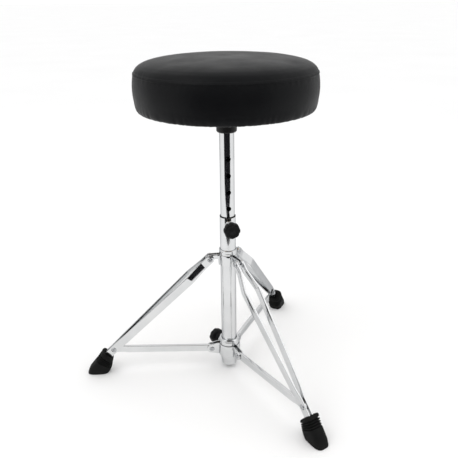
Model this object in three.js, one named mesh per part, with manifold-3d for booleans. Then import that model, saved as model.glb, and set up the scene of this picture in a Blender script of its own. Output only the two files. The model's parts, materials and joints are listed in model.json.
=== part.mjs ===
// Drum throne: a padded round seat on a telescopic column with a fold-up tripod.
//
// Millimetres, +Z up. The origin is the point on the floor under the column's axis.
// The three legs stand at azimuths 180, 300 and 60 degrees, measured from +X towards +Y.

import * as THREE from 'three';
import { mergeVertices } from 'three/addons/utils/BufferGeometryUtils.js';
import Module from 'manifold-3d';

const wasm = await Module();
wasm.setup();

// ---------------------------------------------------------------- driving dimensions

const GAP = 0.3;                     // running or fitting gap between two separate pieces
const ROUND = 28;                    // facets round a tube or a collar
const SMALL_ROUND = 10;              // facets round a pin, a stud or a rivet

const TUBE_RADIUS = 14.3;            // lower tube, 28.6 mm outside
const TUBE_WALL = 1.2;
const TUBE_BOTTOM = 9;
const TUBE_TOP = 319;
const BUSH_HEIGHT = 1.5;

const POST_RADIUS = 12.7;            // seat post, 25.4 mm outside
const POST_WALL = 1.2;
const POST_BOTTOM = 262;
const POST_TOP = 505;
const HOLE_RADIUS = 4.4;             // height holes in the post's front wall
const HOLE_PITCH = 30;
const HOLES_BELOW_LOCK = 1;
const HOLES_ABOVE_LOCK = 4;

const LOCK_HEIGHT = 306.8;           // height knob
const LOCK_AZIMUTH = -84;
const CLAMP_HEIGHT = 50;             // clamp knob on the sliding collar, between two legs
const CLAMP_AZIMUTH = 128;
const STUD_RADIUS = 3.9;
const BORE_RADIUS = 4.3;             // plain bore that a stud passes
const BOSS_RADIUS = 7;
const LOCK_BOSS_END = 22;            // distance of each boss's outer face from the column's axis
const CLAMP_BOSS_END = 25;
const KNOB_RADIUS = 14.6;
const KNOB_LOBES = 8;
const KNOB_LOBE_DEPTH = 0.9;
const KNOB_THICKNESS = 12;
const KNOB_BEVEL = 1.6;
const KNOB_FLOOR = 4;                 // solid thickness beyond the stud's bore
const KNOB_STEM_RADIUS = 8.5;
const LOCK_STEM_LENGTH = 10;
const CLAMP_STEM_LENGTH = 6;
const KNOB_CLEARANCE = 1.5;          // between a boss's face and its knob's stem

const LEG_AZIMUTHS = [180, -60, 60];
const HALF_SPACING = 60;             // from a leg to the middle of the bracket plate beside it
const CLAMP_BRACKET = 3;             // number of the plate that lies behind the clamp knob's boss
const LEG_PIVOT = { r: 33.8, z: 237 };
const LEG_RIVET = { r: 224.5, z: 50 };
const BRACE_PIVOT = { r: 34.4, z: 42.6 };

const BAR_THICKNESS = 2.8;
const BAR_WIDTH = 15;
const BAR_TAIL = 32;                 // length of bar beyond the foot rivet, inside the boot
const PIVOT_OFFSET = 6.3;            // bar's centreline from the leg's middle plane, at the pivot
const SPREAD_START = 17;             // distances along the leg from the pivot
const SPREAD_END = 53;
const SPREAD_OFFSET = 14.6;
const PINCH_START = 236;
const PINCH_START_OFFSET = 5.7;
const PINCH_END = 254;
const FOOT_OFFSET = 3.2;
const BEND_RADIUS = 9;

const PLATE = 2;                     // pressed bracket plate
const PIN_RADIUS = 3;
const HEAD_RADIUS = 4.8;
const HEAD_HEIGHT = 1.8;
const RIVET_RADIUS = 2.5;

const UPPER_EAR_OFFSET = 3.6;        // ear's centre plane from the leg's middle plane
const UPPER_PLATE_BOTTOM = 225;
const UPPER_PLATE_TOP = 246;
const UPPER_NECK_BOTTOM = 243;       // underside of the arm that carries the ear
const UPPER_EAR_RADIUS = 8.2;
const CRIMP_RADIUS = 16.6;
const CRIMP_BOTTOM = 246.3;
const CRIMP_TOP = 256.5;
const NOTCH = { count: 3, azimuth: -93.5, depth: 1.2, width: 10.5, height: 4.4, z: 251.8 };
const DIMPLE = { count: 6, azimuth: -128, radius: 1.7, depth: 1.1, z: 253.8 };

const SLEEVE_RADIUS = 18.6;          // sliding collar
const SLEEVE_BOTTOM = 31.3;
const RING_RADIUS = 19.6;
const RING_BOTTOM = 54.9;
const RING_TOP = 67;
const LOWER_EAR_OFFSET = 4.3;
const LOWER_PLATE_BOTTOM = 31.3;
const LOWER_PLATE_TOP = 54.6;
const LOWER_EAR_RADIUS = 9;
const STOP_RADIUS = 16.6;            // stop ring under the collar
const STOP_TOP = SLEEVE_BOTTOM - GAP;
const STOP_SHOULDER = 24;
const STOP_BOTTOM = 16;

const BRACE_HEIGHT = 13.2;
const BRACE_WIDTH = 6;
const BRACE_WALL = 1.5;
const BRACE_TAB = 3;
const BRACE_TAB_LENGTH = 19;         // flattened length from the foot rivet inwards
const BRACE_TAPER = 8;

const SEAT_BELLY_RADIUS = 152.5;
const SEAT_SEAM_RADIUS = 149.3;
const SEAT_SEAM_HEIGHT = 570.5;
const SEAT_TOP = 596;
const SEAT_TOP_FLAT_RADIUS = 40;
const SEAT_BOTTOM = 512;
const BOARD_RADIUS = 132;
const BOARD_BOTTOM = 512.8;
const BOARD_THICKNESS = 12;
const HUB_BOTTOM = 471.7;
const HUB_RADIUS = 17.5;
const FLANGE_RADIUS = 50;
const FLANGE_THICKNESS = 3.2;
const SCREW_CIRCLE = 40;
const SCREW_RADIUS = 2.2;
const SCREW_LENGTH = 9;

const LEG_SLOPE = Math.atan2(LEG_PIVOT.z - LEG_RIVET.z, LEG_RIVET.r - LEG_PIVOT.r);
const LEG_LENGTH = Math.hypot(LEG_PIVOT.z - LEG_RIVET.z, LEG_RIVET.r - LEG_PIVOT.r);
const BRACE_SLOPE = -Math.atan2(LEG_RIVET.z - BRACE_PIVOT.z, LEG_RIVET.r - BRACE_PIVOT.r);
const BRACE_LENGTH = Math.hypot(LEG_RIVET.z - BRACE_PIVOT.z, LEG_RIVET.r - BRACE_PIVOT.r);

// ---------------------------------------------------------------- materials

const material = (color, roughness, metalness) =>
  new THREE.MeshStandardMaterial({ color, roughness, metalness });

const chrome = () => material(0xd6d9dc, 0.12, 1);
const blackPlastic = () => material(0x17181a, 0.5, 0);
const blackPaint = () => material(0x1b1c1e, 0.42, 0.2);
const blackRubber = () => material(0x1c1d1c, 0.85, 0);
const blackVinyl = () => material(0x1d1f22, 0.45, 0);
const plywood = () => material(0xb08a5a, 0.75, 0);
const zincSteel = () => material(0xa9acb0, 0.35, 1);

// ---------------------------------------------------------------- solid helpers

function toSolid(geometry) {
  const bare = geometry.clone();
  bare.deleteAttribute('normal');
  bare.deleteAttribute('uv');
  const merged = mergeVertices(bare, 1e-4);
  return new wasm.Manifold(new wasm.Mesh({
    numProp: 3,
    vertProperties: new Float32Array(merged.attributes.position.array),
    triVerts: new Uint32Array(merged.index.array),
  }));
}

function toGeometry(solid) {
  const mesh = solid.getMesh();
  const geometry = new THREE.BufferGeometry();
  geometry.setAttribute('position', new THREE.BufferAttribute(mesh.vertProperties, 3));
  geometry.setIndex(new THREE.BufferAttribute(mesh.triVerts, 1));
  geometry.computeVertexNormals();
  return geometry;
}

function combine(method, first, others) {
  let solid = toSolid(first);
  for (const other of others) {
    solid = solid[method](toSolid(other));
  }
  return toGeometry(solid);
}

const cut = (geometry, ...tools) => combine('subtract', geometry, tools);
const join = (geometry, ...others) => combine('add', geometry, others);
const common = (geometry, ...others) => combine('intersect', geometry, others);

// A solid turned about Z. The profile's points are [radius, height].
function turned(profile, segments = ROUND) {
  const points = profile.map(([radius, height]) => new THREE.Vector2(radius, height));
  return new THREE.LatheGeometry(points, segments).rotateX(Math.PI / 2);
}

// A ring turned about Z, its section a rectangle.
function ring(inner, outer, bottom, top, segments = ROUND) {
  return turned([[inner, bottom], [outer, bottom], [outer, top], [inner, top], [inner, bottom]], segments);
}

// A round bar along +X, from x0 to x1.
function barAlongX(radius, x0, x1, segments = SMALL_ROUND) {
  const geometry = new THREE.CylinderGeometry(radius, radius, x1 - x0, segments);
  return geometry.rotateZ(-Math.PI / 2).translate((x0 + x1) / 2, 0, 0);
}

// A round bar along +Y, from y0 to y1, through the point (x, z).
function barAlongY(radius, y0, y1, x, z, segments = SMALL_ROUND) {
  const geometry = new THREE.CylinderGeometry(radius, radius, y1 - y0, segments);
  return geometry.translate(x, (y0 + y1) / 2, z);
}

// A flat shape in the X-Y plane, raised from bottom to top.
function raised(shape, bottom, top) {
  const options = { depth: top - bottom, bevelEnabled: false, curveSegments: 8 };
  return new THREE.ExtrudeGeometry(shape, options).translate(0, 0, bottom);
}

// A flat shape drawn in the X-Z plane, given thickness from y0 to y1.
function upright(shape, y0, y1) {
  const options = { depth: y1 - y0, bevelEnabled: false, curveSegments: 8 };
  return new THREE.ExtrudeGeometry(shape, options).rotateX(Math.PI / 2).translate(0, y1, 0);
}

const shapeOf = (points) => new THREE.Shape(points.map(([x, y]) => new THREE.Vector2(x, y)));

// A path through the corners, each inner corner rounded to the radius.
function roundedPath(corners, radius, steps = 3) {
  const path = [corners[0]];
  for (let i = 1; i < corners.length - 1; i += 1) {
    const corner = new THREE.Vector2(...corners[i]);
    const back = new THREE.Vector2(...corners[i - 1]).sub(corner);
    const ahead = new THREE.Vector2(...corners[i + 1]).sub(corner);
    const turn = Math.PI - back.angleTo(ahead);
    const reach = Math.min(radius * Math.tan(turn / 2), back.length() * 0.45, ahead.length() * 0.45);
    const start = corner.clone().addScaledVector(back.normalize(), reach);
    const end = corner.clone().addScaledVector(ahead.normalize(), reach);
    const curve = new THREE.QuadraticBezierCurve(start, corner, end);
    for (const point of curve.getPoints(steps)) {
      path.push([point.x, point.y]);
    }
  }
  path.push(corners[corners.length - 1]);
  return path;
}

// The outline of a strip of constant thickness that follows a path.
function stripShape(path, thickness) {
  const near = [];
  const far = [];
  for (let i = 0; i < path.length; i += 1) {
    const before = path[Math.max(i - 1, 0)];
    const after = path[Math.min(i + 1, path.length - 1)];
    const here = path[i];
    const incoming = new THREE.Vector2(here[0] - before[0], here[1] - before[1]).normalize();
    const outgoing = new THREE.Vector2(after[0] - here[0], after[1] - here[1]).normalize();
    const along = incoming.add(outgoing).normalize();
    const side = new THREE.Vector2(-along.y, along.x);
    const heading = new THREE.Vector2(after[0] - here[0], after[1] - here[1]);
    const cosine = heading.length() > 0 ? Math.abs(heading.normalize().dot(along)) : 1;
    const half = thickness / 2 / cosine;
    near.push([here[0] - side.x * half, here[1] - side.y * half]);
    far.push([here[0] + side.x * half, here[1] + side.y * half]);
  }
  return shapeOf([...near, ...far.reverse()]);
}

// A closed skin through a list of rings of points, each ring with the same number of points.
function loft(rings) {
  const count = rings[0].length;
  const positions = [];
  const indices = [];
  for (const points of rings) {
    for (const point of points) {
      positions.push(point.x, point.y, point.z);
    }
  }
  for (let i = 0; i < rings.length - 1; i += 1) {
    for (let j = 0; j < count; j += 1) {
      const next = (j + 1) % count;
      const a = i * count + j;
      const b = i * count + next;
      indices.push(a, b, b + count, a, b + count, a + count);
    }
  }
  for (const [row, flip] of [[0, true], [rings.length - 1, false]]) {
    const middle = new THREE.Vector3();
    for (const point of rings[row]) {
      middle.addScaledVector(point, 1 / count);
    }
    const centre = positions.length / 3;
    positions.push(middle.x, middle.y, middle.z);
    for (let j = 0; j < count; j += 1) {
      const a = row * count + j;
      const b = row * count + ((j + 1) % count);
      indices.push(...(flip ? [centre, b, a] : [centre, a, b]));
    }
  }
  const geometry = new THREE.BufferGeometry();
  geometry.setAttribute('position', new THREE.Float32BufferAttribute(positions, 3));
  geometry.setIndex(indices);
  geometry.computeVertexNormals();
  return geometry;
}

// ---------------------------------------------------------------- placing

const model = new THREE.Group();

function add(parent, name, geometry, surface) {
  const mesh = new THREE.Mesh(geometry, surface);
  mesh.name = name;
  parent.add(mesh);
  return mesh;
}

// A group turned about the column: its +X points outwards at the azimuth.
function turnedGroup(azimuth, height = 0) {
  const group = new THREE.Group();
  group.rotation.z = THREE.MathUtils.degToRad(azimuth);
  group.position.z = height;
  model.add(group);
  return group;
}

// ---------------------------------------------------------------- column

function lowerTube() {
  const tube = ring(TUBE_RADIUS - TUBE_WALL, TUBE_RADIUS, TUBE_BOTTOM, TUBE_TOP);
  const studHole = barAlongX(BORE_RADIUS, TUBE_RADIUS - 4, TUBE_RADIUS + 2);
  studHole.rotateZ(THREE.MathUtils.degToRad(LOCK_AZIMUTH)).translate(0, 0, LOCK_HEIGHT);
  return cut(tube, studHole);
}

function tubeBush() {
  const inner = POST_RADIUS + GAP;
  const outer = TUBE_RADIUS;
  const bottom = TUBE_TOP + GAP;
  const top = bottom + BUSH_HEIGHT;
  return turned([
    [inner, bottom], [outer, bottom], [outer, top - 0.6], [outer - 0.6, top], [inner, top], [inner, bottom],
  ]);
}

function postEndPlug() {
  const stem = TUBE_RADIUS - TUBE_WALL - GAP;
  return turned([
    [0, 4], [6, 4], [9.5, 6], [stem, TUBE_BOTTOM + GAP], [stem, 22], [stem - 2, 24], [0, 24],
  ]);
}

// A ring fixed to the tube below the sliding collar, which rests on it when the legs are spread.
function tubeStopRing() {
  const inner = TUBE_RADIUS + GAP;
  return turned([
    [inner, STOP_BOTTOM], [inner + 0.6, STOP_BOTTOM], [STOP_RADIUS, STOP_SHOULDER],
    [STOP_RADIUS, STOP_TOP], [inner, STOP_TOP], [inner, STOP_BOTTOM],
  ]);
}

function lockBoss() {
  const boss = barAlongX(BOSS_RADIUS, 10, LOCK_BOSS_END, ROUND);
  const tubeSpace = new THREE.CylinderGeometry(TUBE_RADIUS + GAP, TUBE_RADIUS + GAP, 40, ROUND)
    .rotateX(Math.PI / 2)
    .rotateZ(Math.PI / ROUND);
  return cut(boss, tubeSpace, barAlongX(BORE_RADIUS, 0, LOCK_BOSS_END + 5));
}

// A ring crimped on the tube, with three notches and six pressed dimples round it.
function upperCollar() {
  const inner = TUBE_RADIUS + GAP;
  const collar = turned([
    [inner, CRIMP_BOTTOM], [CRIMP_RADIUS - 0.6, CRIMP_BOTTOM], [CRIMP_RADIUS, CRIMP_BOTTOM + 0.6],
    [CRIMP_RADIUS, CRIMP_TOP - 1], [CRIMP_RADIUS - 1, CRIMP_TOP], [inner, CRIMP_TOP],
    [inner, CRIMP_BOTTOM],
  ]);
  const tools = [];
  for (let k = 0; k < NOTCH.count; k += 1) {
    const notch = new THREE.BoxGeometry(2 * NOTCH.depth, NOTCH.width, NOTCH.height)
      .translate(CRIMP_RADIUS, 0, NOTCH.z);
    tools.push(notch.rotateZ(THREE.MathUtils.degToRad(NOTCH.azimuth + 360 * k / NOTCH.count)));
  }
  for (let k = 0; k < DIMPLE.count; k += 1) {
    const dimple = new THREE.SphereGeometry(DIMPLE.radius, 6, 4)
      .translate(CRIMP_RADIUS + DIMPLE.radius - DIMPLE.depth, 0, DIMPLE.z);
    tools.push(dimple.rotateZ(THREE.MathUtils.degToRad(DIMPLE.azimuth + 360 * k / DIMPLE.count)));
  }
  return cut(collar, ...tools);
}

// ---------------------------------------------------------------- pressed brackets

// An ear's outline in the leg's plane: from the column out to a round end about the pivot.
function earShape(pivot, radius, bottom, top, innerRadius) {
  const rise = THREE.MathUtils.clamp((bottom - pivot.z) / radius, -1, 1);
  const start = -Math.PI - Math.asin(rise);
  const shape = new THREE.Shape();
  shape.moveTo(innerRadius, bottom);
  shape.lineTo(pivot.r + radius * Math.cos(start), pivot.z + radius * Math.sin(start));
  shape.absarc(pivot.r, pivot.z, radius, start, Math.PI / 2, false);
  shape.lineTo(innerRadius, top);
  shape.closePath();
  return shape;
}

// One plate wraps a third of the column. Each end turns out into an ear beside a leg.
function bracketPlate(wrapRadius, earOffset, pivot, earRadius, neckBottom, bottom, top, ...wallCuts) {
  const half = Math.PI / 3;
  const meet = Math.asin(earOffset / wrapRadius);
  const reach = pivot.r + earRadius + 3;
  const earEnd = (side) => {
    const out = [Math.cos(half) * reach, Math.sin(half) * reach];
    const inwards = [Math.sin(half) * earOffset, -Math.cos(half) * earOffset];
    return [out[0] + inwards[0], side * (out[1] + inwards[1])];
  };
  const corners = [earEnd(-1)];
  const steps = 6;
  for (let i = 0; i <= steps; i += 1) {
    const angle = (half - meet) * (2 * i / steps - 1);
    corners.push([Math.cos(angle) * wrapRadius, Math.sin(angle) * wrapRadius]);
  }
  corners.push(earEnd(1));
  const strip = raised(stripShape(corners, PLATE), bottom, top);

  const keepWall = new THREE.CylinderGeometry(wrapRadius + 3, wrapRadius + 3, 100, ROUND)
    .rotateX(Math.PI / 2)
    .translate(0, 0, (bottom + top) / 2);
  const keepEars = [];
  const holes = [];
  for (const side of [-1, 1]) {
    const outline = earShape(pivot, earRadius, neckBottom, top, wrapRadius * 0.5);
    keepEars.push(upright(outline, -10, 10).rotateZ(side * half));
    holes.push(barAlongY(PIN_RADIUS + GAP, -12, 12, pivot.r, pivot.z).rotateZ(side * half));
  }
  const kept = common(strip, join(keepWall, ...keepEars));
  return cut(kept, ...holes, ...wallCuts);
}

const upperBracket = () => bracketPlate(
  TUBE_RADIUS + GAP + PLATE / 2 + 0.1, UPPER_EAR_OFFSET, LEG_PIVOT,
  UPPER_EAR_RADIUS, UPPER_NECK_BOTTOM, UPPER_PLATE_BOTTOM, UPPER_PLATE_TOP,
);

const lowerBracket = (...wallCuts) => bracketPlate(
  SLEEVE_RADIUS + GAP + PLATE / 2 + 0.1, LOWER_EAR_OFFSET, BRACE_PIVOT,
  LOWER_EAR_RADIUS, LOWER_PLATE_BOTTOM, LOWER_PLATE_BOTTOM, LOWER_PLATE_TOP, ...wallCuts,
);

// A plate is notched from above where the collar's boss stands, in the plate's own azimuth.
function bossNotch(plateAzimuth) {
  const radius = BOSS_RADIUS + GAP;
  const round = barAlongX(radius, 10, 30, ROUND).translate(0, 0, CLAMP_HEIGHT);
  const above = new THREE.BoxGeometry(20, 2 * radius, 20).translate(20, 0, CLAMP_HEIGHT + 10);
  return join(round, above).rotateZ(THREE.MathUtils.degToRad(CLAMP_AZIMUTH - plateAzimuth));
}

// A domed rivet head on a shank, turned about Z: the head's flat side is at z = 0.
function rivetHead(shankRadius, shankLength) {
  return turned([
    [0, -shankLength], [shankRadius, -shankLength], [shankRadius, 0], [HEAD_RADIUS, 0],
    [HEAD_RADIUS, 0.5], [HEAD_RADIUS * 0.6, HEAD_HEIGHT], [0, HEAD_HEIGHT],
  ], SMALL_ROUND);
}

// A rivet across the leg's plane, headed at both ends. Its grip is the half width it holds.
function doubleRivet(radius, grip) {
  const half = rivetHead(radius, grip).translate(0, 0, grip);
  const other = half.clone().rotateX(Math.PI);
  return join(half, other, new THREE.CylinderGeometry(radius, radius, 2, SMALL_ROUND).rotateX(Math.PI / 2))
    .rotateX(-Math.PI / 2);
}

// ---------------------------------------------------------------- sliding collar

function lowerCollar() {
  const inner = TUBE_RADIUS + GAP;
  const body = turned([
    [inner, SLEEVE_BOTTOM], [SLEEVE_RADIUS, SLEEVE_BOTTOM], [SLEEVE_RADIUS, RING_BOTTOM],
    [RING_RADIUS, RING_BOTTOM + 0.8], [RING_RADIUS, RING_TOP - 2], [RING_RADIUS - 1.6, RING_TOP],
    [inner + 1, RING_TOP], [inner, RING_TOP - 1], [inner, SLEEVE_BOTTOM],
  ]);
  const boss = barAlongX(BOSS_RADIUS, 16.5, CLAMP_BOSS_END, ROUND).translate(0, 0, CLAMP_HEIGHT);
  const bore = barAlongX(BORE_RADIUS, 10, CLAMP_BOSS_END + 5).translate(0, 0, CLAMP_HEIGHT);
  return cut(join(body, boss), bore).rotateZ(THREE.MathUtils.degToRad(CLAMP_AZIMUTH));
}

// ---------------------------------------------------------------- knobs

// A star knob on +X: a stem next to the boss, then the lobed grip. It takes the stud in a blind bore.
function starKnob(bossEnd, stemLength) {
  const stemStart = bossEnd + KNOB_CLEARANCE;
  const gripStart = stemStart + stemLength;
  const outline = [];
  const points = KNOB_LOBES * 4;
  for (let i = 0; i < points; i += 1) {
    const angle = 2 * Math.PI * i / points;
    const lobe = Math.abs(Math.cos(KNOB_LOBES * angle / 2));
    const radius = KNOB_RADIUS - KNOB_BEVEL - KNOB_LOBE_DEPTH * 2 * (1 - lobe);
    outline.push([Math.cos(angle) * radius, Math.sin(angle) * radius]);
  }
  const grip = new THREE.ExtrudeGeometry(shapeOf(outline), {
    depth: KNOB_THICKNESS - 2 * KNOB_BEVEL, bevelEnabled: true, bevelThickness: KNOB_BEVEL,
    bevelSize: KNOB_BEVEL, bevelSegments: 1,
  });
  grip.rotateY(Math.PI / 2).translate(gripStart + KNOB_BEVEL, 0, 0);
  const stem = new THREE.CylinderGeometry(KNOB_STEM_RADIUS + 1, KNOB_STEM_RADIUS - 1, stemLength + 2, ROUND)
    .rotateZ(-Math.PI / 2)
    .translate(stemStart + stemLength / 2 + 1, 0, 0);
  const bore = barAlongX(STUD_RADIUS + GAP, 0, gripStart + KNOB_THICKNESS - KNOB_FLOOR);
  return cut(join(grip, stem), bore);
}

// The stud has a chamfered nose at the start and runs into its knob.
function stud(start, bossEnd, stemLength) {
  const end = bossEnd + KNOB_CLEARANCE + stemLength + KNOB_THICKNESS - KNOB_FLOOR - GAP;
  return turned([
    [0, start], [STUD_RADIUS - 1.2, start], [STUD_RADIUS, start + 1.6], [STUD_RADIUS, end], [0, end],
  ], SMALL_ROUND).rotateY(Math.PI / 2);
}

// ---------------------------------------------------------------- seat post

function seatPost() {
  const post = ring(POST_RADIUS - POST_WALL, POST_RADIUS, POST_BOTTOM, POST_TOP);
  const holes = [];
  for (let step = -HOLES_BELOW_LOCK; step <= HOLES_ABOVE_LOCK; step += 1) {
    const hole = barAlongX(HOLE_RADIUS, POST_RADIUS - 5, POST_RADIUS + 2);
    hole.rotateZ(THREE.MathUtils.degToRad(LOCK_AZIMUTH)).translate(0, 0, LOCK_HEIGHT + step * HOLE_PITCH);
    holes.push(hole);
  }
  return cut(post, ...holes);
}

function postFootPlug() {
  const stem = POST_RADIUS - POST_WALL - GAP;
  const bottom = POST_BOTTOM - GAP;
  return turned([
    [0, bottom - 3], [POST_RADIUS - 1, bottom - 3], [POST_RADIUS - 0.1, bottom - 2],
    [POST_RADIUS - 0.1, bottom], [stem, bottom], [stem, bottom + 12], [0, bottom + 12],
  ]);
}

// ---------------------------------------------------------------- seat

function seatCushion() {
  const profile = [[0, SEAT_TOP], [SEAT_TOP_FLAT_RADIUS, SEAT_TOP]];
  const shoulder = new THREE.CubicBezierCurve(
    new THREE.Vector2(SEAT_TOP_FLAT_RADIUS, SEAT_TOP), new THREE.Vector2(112, SEAT_TOP),
    new THREE.Vector2(147, SEAT_TOP - 6), new THREE.Vector2(SEAT_SEAM_RADIUS, SEAT_SEAM_HEIGHT),
  );
  for (const point of shoulder.getPoints(6).slice(1)) {
    profile.push([point.x, point.y]);
  }
  const skirt = new THREE.CubicBezierCurve(
    new THREE.Vector2(SEAT_SEAM_RADIUS, SEAT_SEAM_HEIGHT),
    new THREE.Vector2(SEAT_BELLY_RADIUS + 1.6, SEAT_SEAM_HEIGHT - 14),
    new THREE.Vector2(SEAT_BELLY_RADIUS + 0.6, SEAT_BOTTOM + 26),
    new THREE.Vector2(SEAT_BELLY_RADIUS - 3.5, SEAT_BOTTOM + 12),
  );
  for (const point of skirt.getPoints(4).slice(1)) {
    profile.push([point.x, point.y]);
  }
  const turnUnder = new THREE.QuadraticBezierCurve(
    new THREE.Vector2(SEAT_BELLY_RADIUS - 3.5, SEAT_BOTTOM + 12),
    new THREE.Vector2(SEAT_BELLY_RADIUS - 6, SEAT_BOTTOM), new THREE.Vector2(SEAT_BELLY_RADIUS - 15, SEAT_BOTTOM),
  );
  for (const point of turnUnder.getPoints(3).slice(1)) {
    profile.push([point.x, point.y]);
  }
  const boardTop = BOARD_BOTTOM + BOARD_THICKNESS + GAP;
  profile.push([BOARD_RADIUS + GAP + 0.2, SEAT_BOTTOM], [BOARD_RADIUS + GAP + 0.2, boardTop], [0, boardTop]);
  return turned(profile.reverse(), 56);
}

function screwCentres() {
  return [45, 135, 225, 315].map((azimuth) => {
    const angle = THREE.MathUtils.degToRad(azimuth);
    return [Math.cos(angle) * SCREW_CIRCLE, Math.sin(angle) * SCREW_CIRCLE];
  });
}

function screwHole(x, y, bottom, top) {
  return new THREE.CylinderGeometry(SCREW_RADIUS + GAP, SCREW_RADIUS + GAP, top - bottom, SMALL_ROUND)
    .rotateX(Math.PI / 2)
    .translate(x, y, (bottom + top) / 2);
}

function seatBoard() {
  const disc = turned([
    [0, BOARD_BOTTOM], [BOARD_RADIUS - 1, BOARD_BOTTOM], [BOARD_RADIUS, BOARD_BOTTOM + 1],
    [BOARD_RADIUS, BOARD_BOTTOM + BOARD_THICKNESS], [0, BOARD_BOTTOM + BOARD_THICKNESS],
  ], 48);
  const holes = screwCentres().map(([x, y]) =>
    screwHole(x, y, BOARD_BOTTOM - 2, BOARD_BOTTOM + SCREW_LENGTH + GAP));
  return cut(disc, ...holes);
}

// A black socket over the post's top, with a round flange under the board.
function seatHub() {
  const top = BOARD_BOTTOM - GAP;
  const bore = POST_RADIUS + GAP;
  const underside = top - FLANGE_THICKNESS;
  const hub = turned([
    [0, POST_TOP + 1.5], [bore, POST_TOP + 1.5], [bore, HUB_BOTTOM], [HUB_RADIUS - 2.2, HUB_BOTTOM],
    [HUB_RADIUS - 0.6, HUB_BOTTOM + 1], [HUB_RADIUS, HUB_BOTTOM + 3], [HUB_RADIUS, underside - 14],
    [HUB_RADIUS + 1.2, underside - 8], [HUB_RADIUS + 5, underside - 3], [HUB_RADIUS + 11, underside],
    [FLANGE_RADIUS - 0.8, underside], [FLANGE_RADIUS, underside + 0.8], [FLANGE_RADIUS, top], [0, top],
  ]);
  const holes = screwCentres().map(([x, y]) => screwHole(x, y, underside - 2, top + 2));
  return cut(hub, ...holes);
}

function hubScrew(x, y) {
  const underside = BOARD_BOTTOM - GAP - FLANGE_THICKNESS;
  const headTop = underside - GAP;
  const tip = BOARD_BOTTOM + SCREW_LENGTH;
  const screw = turned([
    [0, headTop - 2.4], [2.6, headTop - 2.2], [4.2, headTop - 1], [4.2, headTop], [SCREW_RADIUS, headTop],
    [SCREW_RADIUS, tip - 2], [0.6, tip], [0, tip],
  ], SMALL_ROUND);
  const slot = new THREE.BoxGeometry(12, 1, 1.2).translate(0, 0, headTop - 2.4);
  return cut(screw, slot).translate(x, y, 0);
}

// ---------------------------------------------------------------- tripod

// Moves a piece drawn along the leg (x along, y across, z square to the face) into the leg's plane.
const alongLeg = (geometry) => geometry.rotateY(LEG_SLOPE).translate(LEG_PIVOT.r, 0, LEG_PIVOT.z);
const alongBrace = (geometry) => geometry.rotateY(BRACE_SLOPE).translate(BRACE_PIVOT.r, 0, BRACE_PIVOT.z);

function legBar(side) {
  const start = -BAR_WIDTH / 2 - 3;
  const end = LEG_LENGTH + BAR_TAIL;
  const corners = [
    [start, PIVOT_OFFSET], [SPREAD_START, PIVOT_OFFSET], [SPREAD_END, SPREAD_OFFSET],
    [PINCH_START, PINCH_START_OFFSET], [PINCH_END, FOOT_OFFSET], [end, FOOT_OFFSET],
  ];
  const path = roundedPath(corners, BEND_RADIUS).map(([along, across]) => [along, side * across]);
  const strip = raised(stripShape(path, BAR_THICKNESS), -BAR_WIDTH / 2, BAR_WIDTH / 2);

  const half = BAR_WIDTH / 2 - 0.01;
  const face = new THREE.Shape();
  face.moveTo(0, -half);
  face.lineTo(end + 5, -half);
  face.lineTo(end + 5, half);
  face.lineTo(0, half);
  face.absarc(0, 0, half, Math.PI / 2, 3 * Math.PI / 2, false);
  const outline = upright(face, -30, 30);
  const pivotHole = barAlongY(PIN_RADIUS + GAP, -30, 30, 0, 0);
  const rivetHole = barAlongY(RIVET_RADIUS + GAP, -30, 30, LEG_LENGTH, 0);
  return alongLeg(cut(common(strip, outline), pivotHole, rivetHole));
}

// The rivet's end on a bar: a plug in the bar's hole and a domed head outside it.
function upperRivetHead(side) {
  const outerFace = PIVOT_OFFSET + BAR_THICKNESS / 2;
  const head = rivetHead(PIN_RADIUS, BAR_THICKNESS).translate(0, 0, outerFace + GAP);
  return alongLeg(head.rotateX(side > 0 ? -Math.PI / 2 : Math.PI / 2));
}

function upperPivotPin() {
  const half = UPPER_EAR_OFFSET + PLATE / 2 + 0.05;
  return barAlongY(PIN_RADIUS, -half, half, LEG_PIVOT.r, LEG_PIVOT.z);
}

function footRivet() {
  const grip = FOOT_OFFSET + BAR_THICKNESS / 2 + GAP;
  return alongLeg(doubleRivet(RIVET_RADIUS, grip).translate(LEG_LENGTH, 0, 0));
}

function bracePin() {
  const grip = LOWER_EAR_OFFSET + PLATE / 2 + GAP;
  return alongBrace(doubleRivet(PIN_RADIUS, grip));
}

// A channel, open below, flattened to a tab where it goes between the leg's bars.
function brace() {
  const half = BRACE_WIDTH / 2;
  const tabHalf = BRACE_TAB / 2;
  const endRadius = BRACE_HEIGHT / 2;
  const tabStart = BRACE_LENGTH - BRACE_TAB_LENGTH;
  const taperStart = tabStart - BRACE_TAPER;
  const plan = shapeOf([
    [-endRadius, -half], [taperStart, -half], [tabStart, -tabHalf], [BRACE_LENGTH + endRadius, -tabHalf],
    [BRACE_LENGTH + endRadius, tabHalf], [tabStart, tabHalf], [taperStart, half], [-endRadius, half],
  ]);
  const face = new THREE.Shape();
  face.moveTo(0, -endRadius);
  face.lineTo(BRACE_LENGTH, -endRadius);
  face.absarc(BRACE_LENGTH, 0, endRadius, -Math.PI / 2, Math.PI / 2, false);
  face.lineTo(0, endRadius);
  face.absarc(0, 0, endRadius, Math.PI / 2, 3 * Math.PI / 2, false);
  const block = common(raised(plan, -20, 20), upright(face, -10, 10));
  const channel = new THREE.BoxGeometry(taperStart + 20, BRACE_WIDTH - 2 * BRACE_WALL, BRACE_HEIGHT)
    .translate((taperStart - 20) / 2, 0, -BRACE_WALL);
  const pinHole = barAlongY(PIN_RADIUS + GAP, -10, 10, 0, 0);
  const rivetHole = barAlongY(RIVET_RADIUS + GAP, -10, 10, BRACE_LENGTH, 0);
  return alongBrace(cut(block, channel, pinHole, rivetHole));
}

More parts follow.
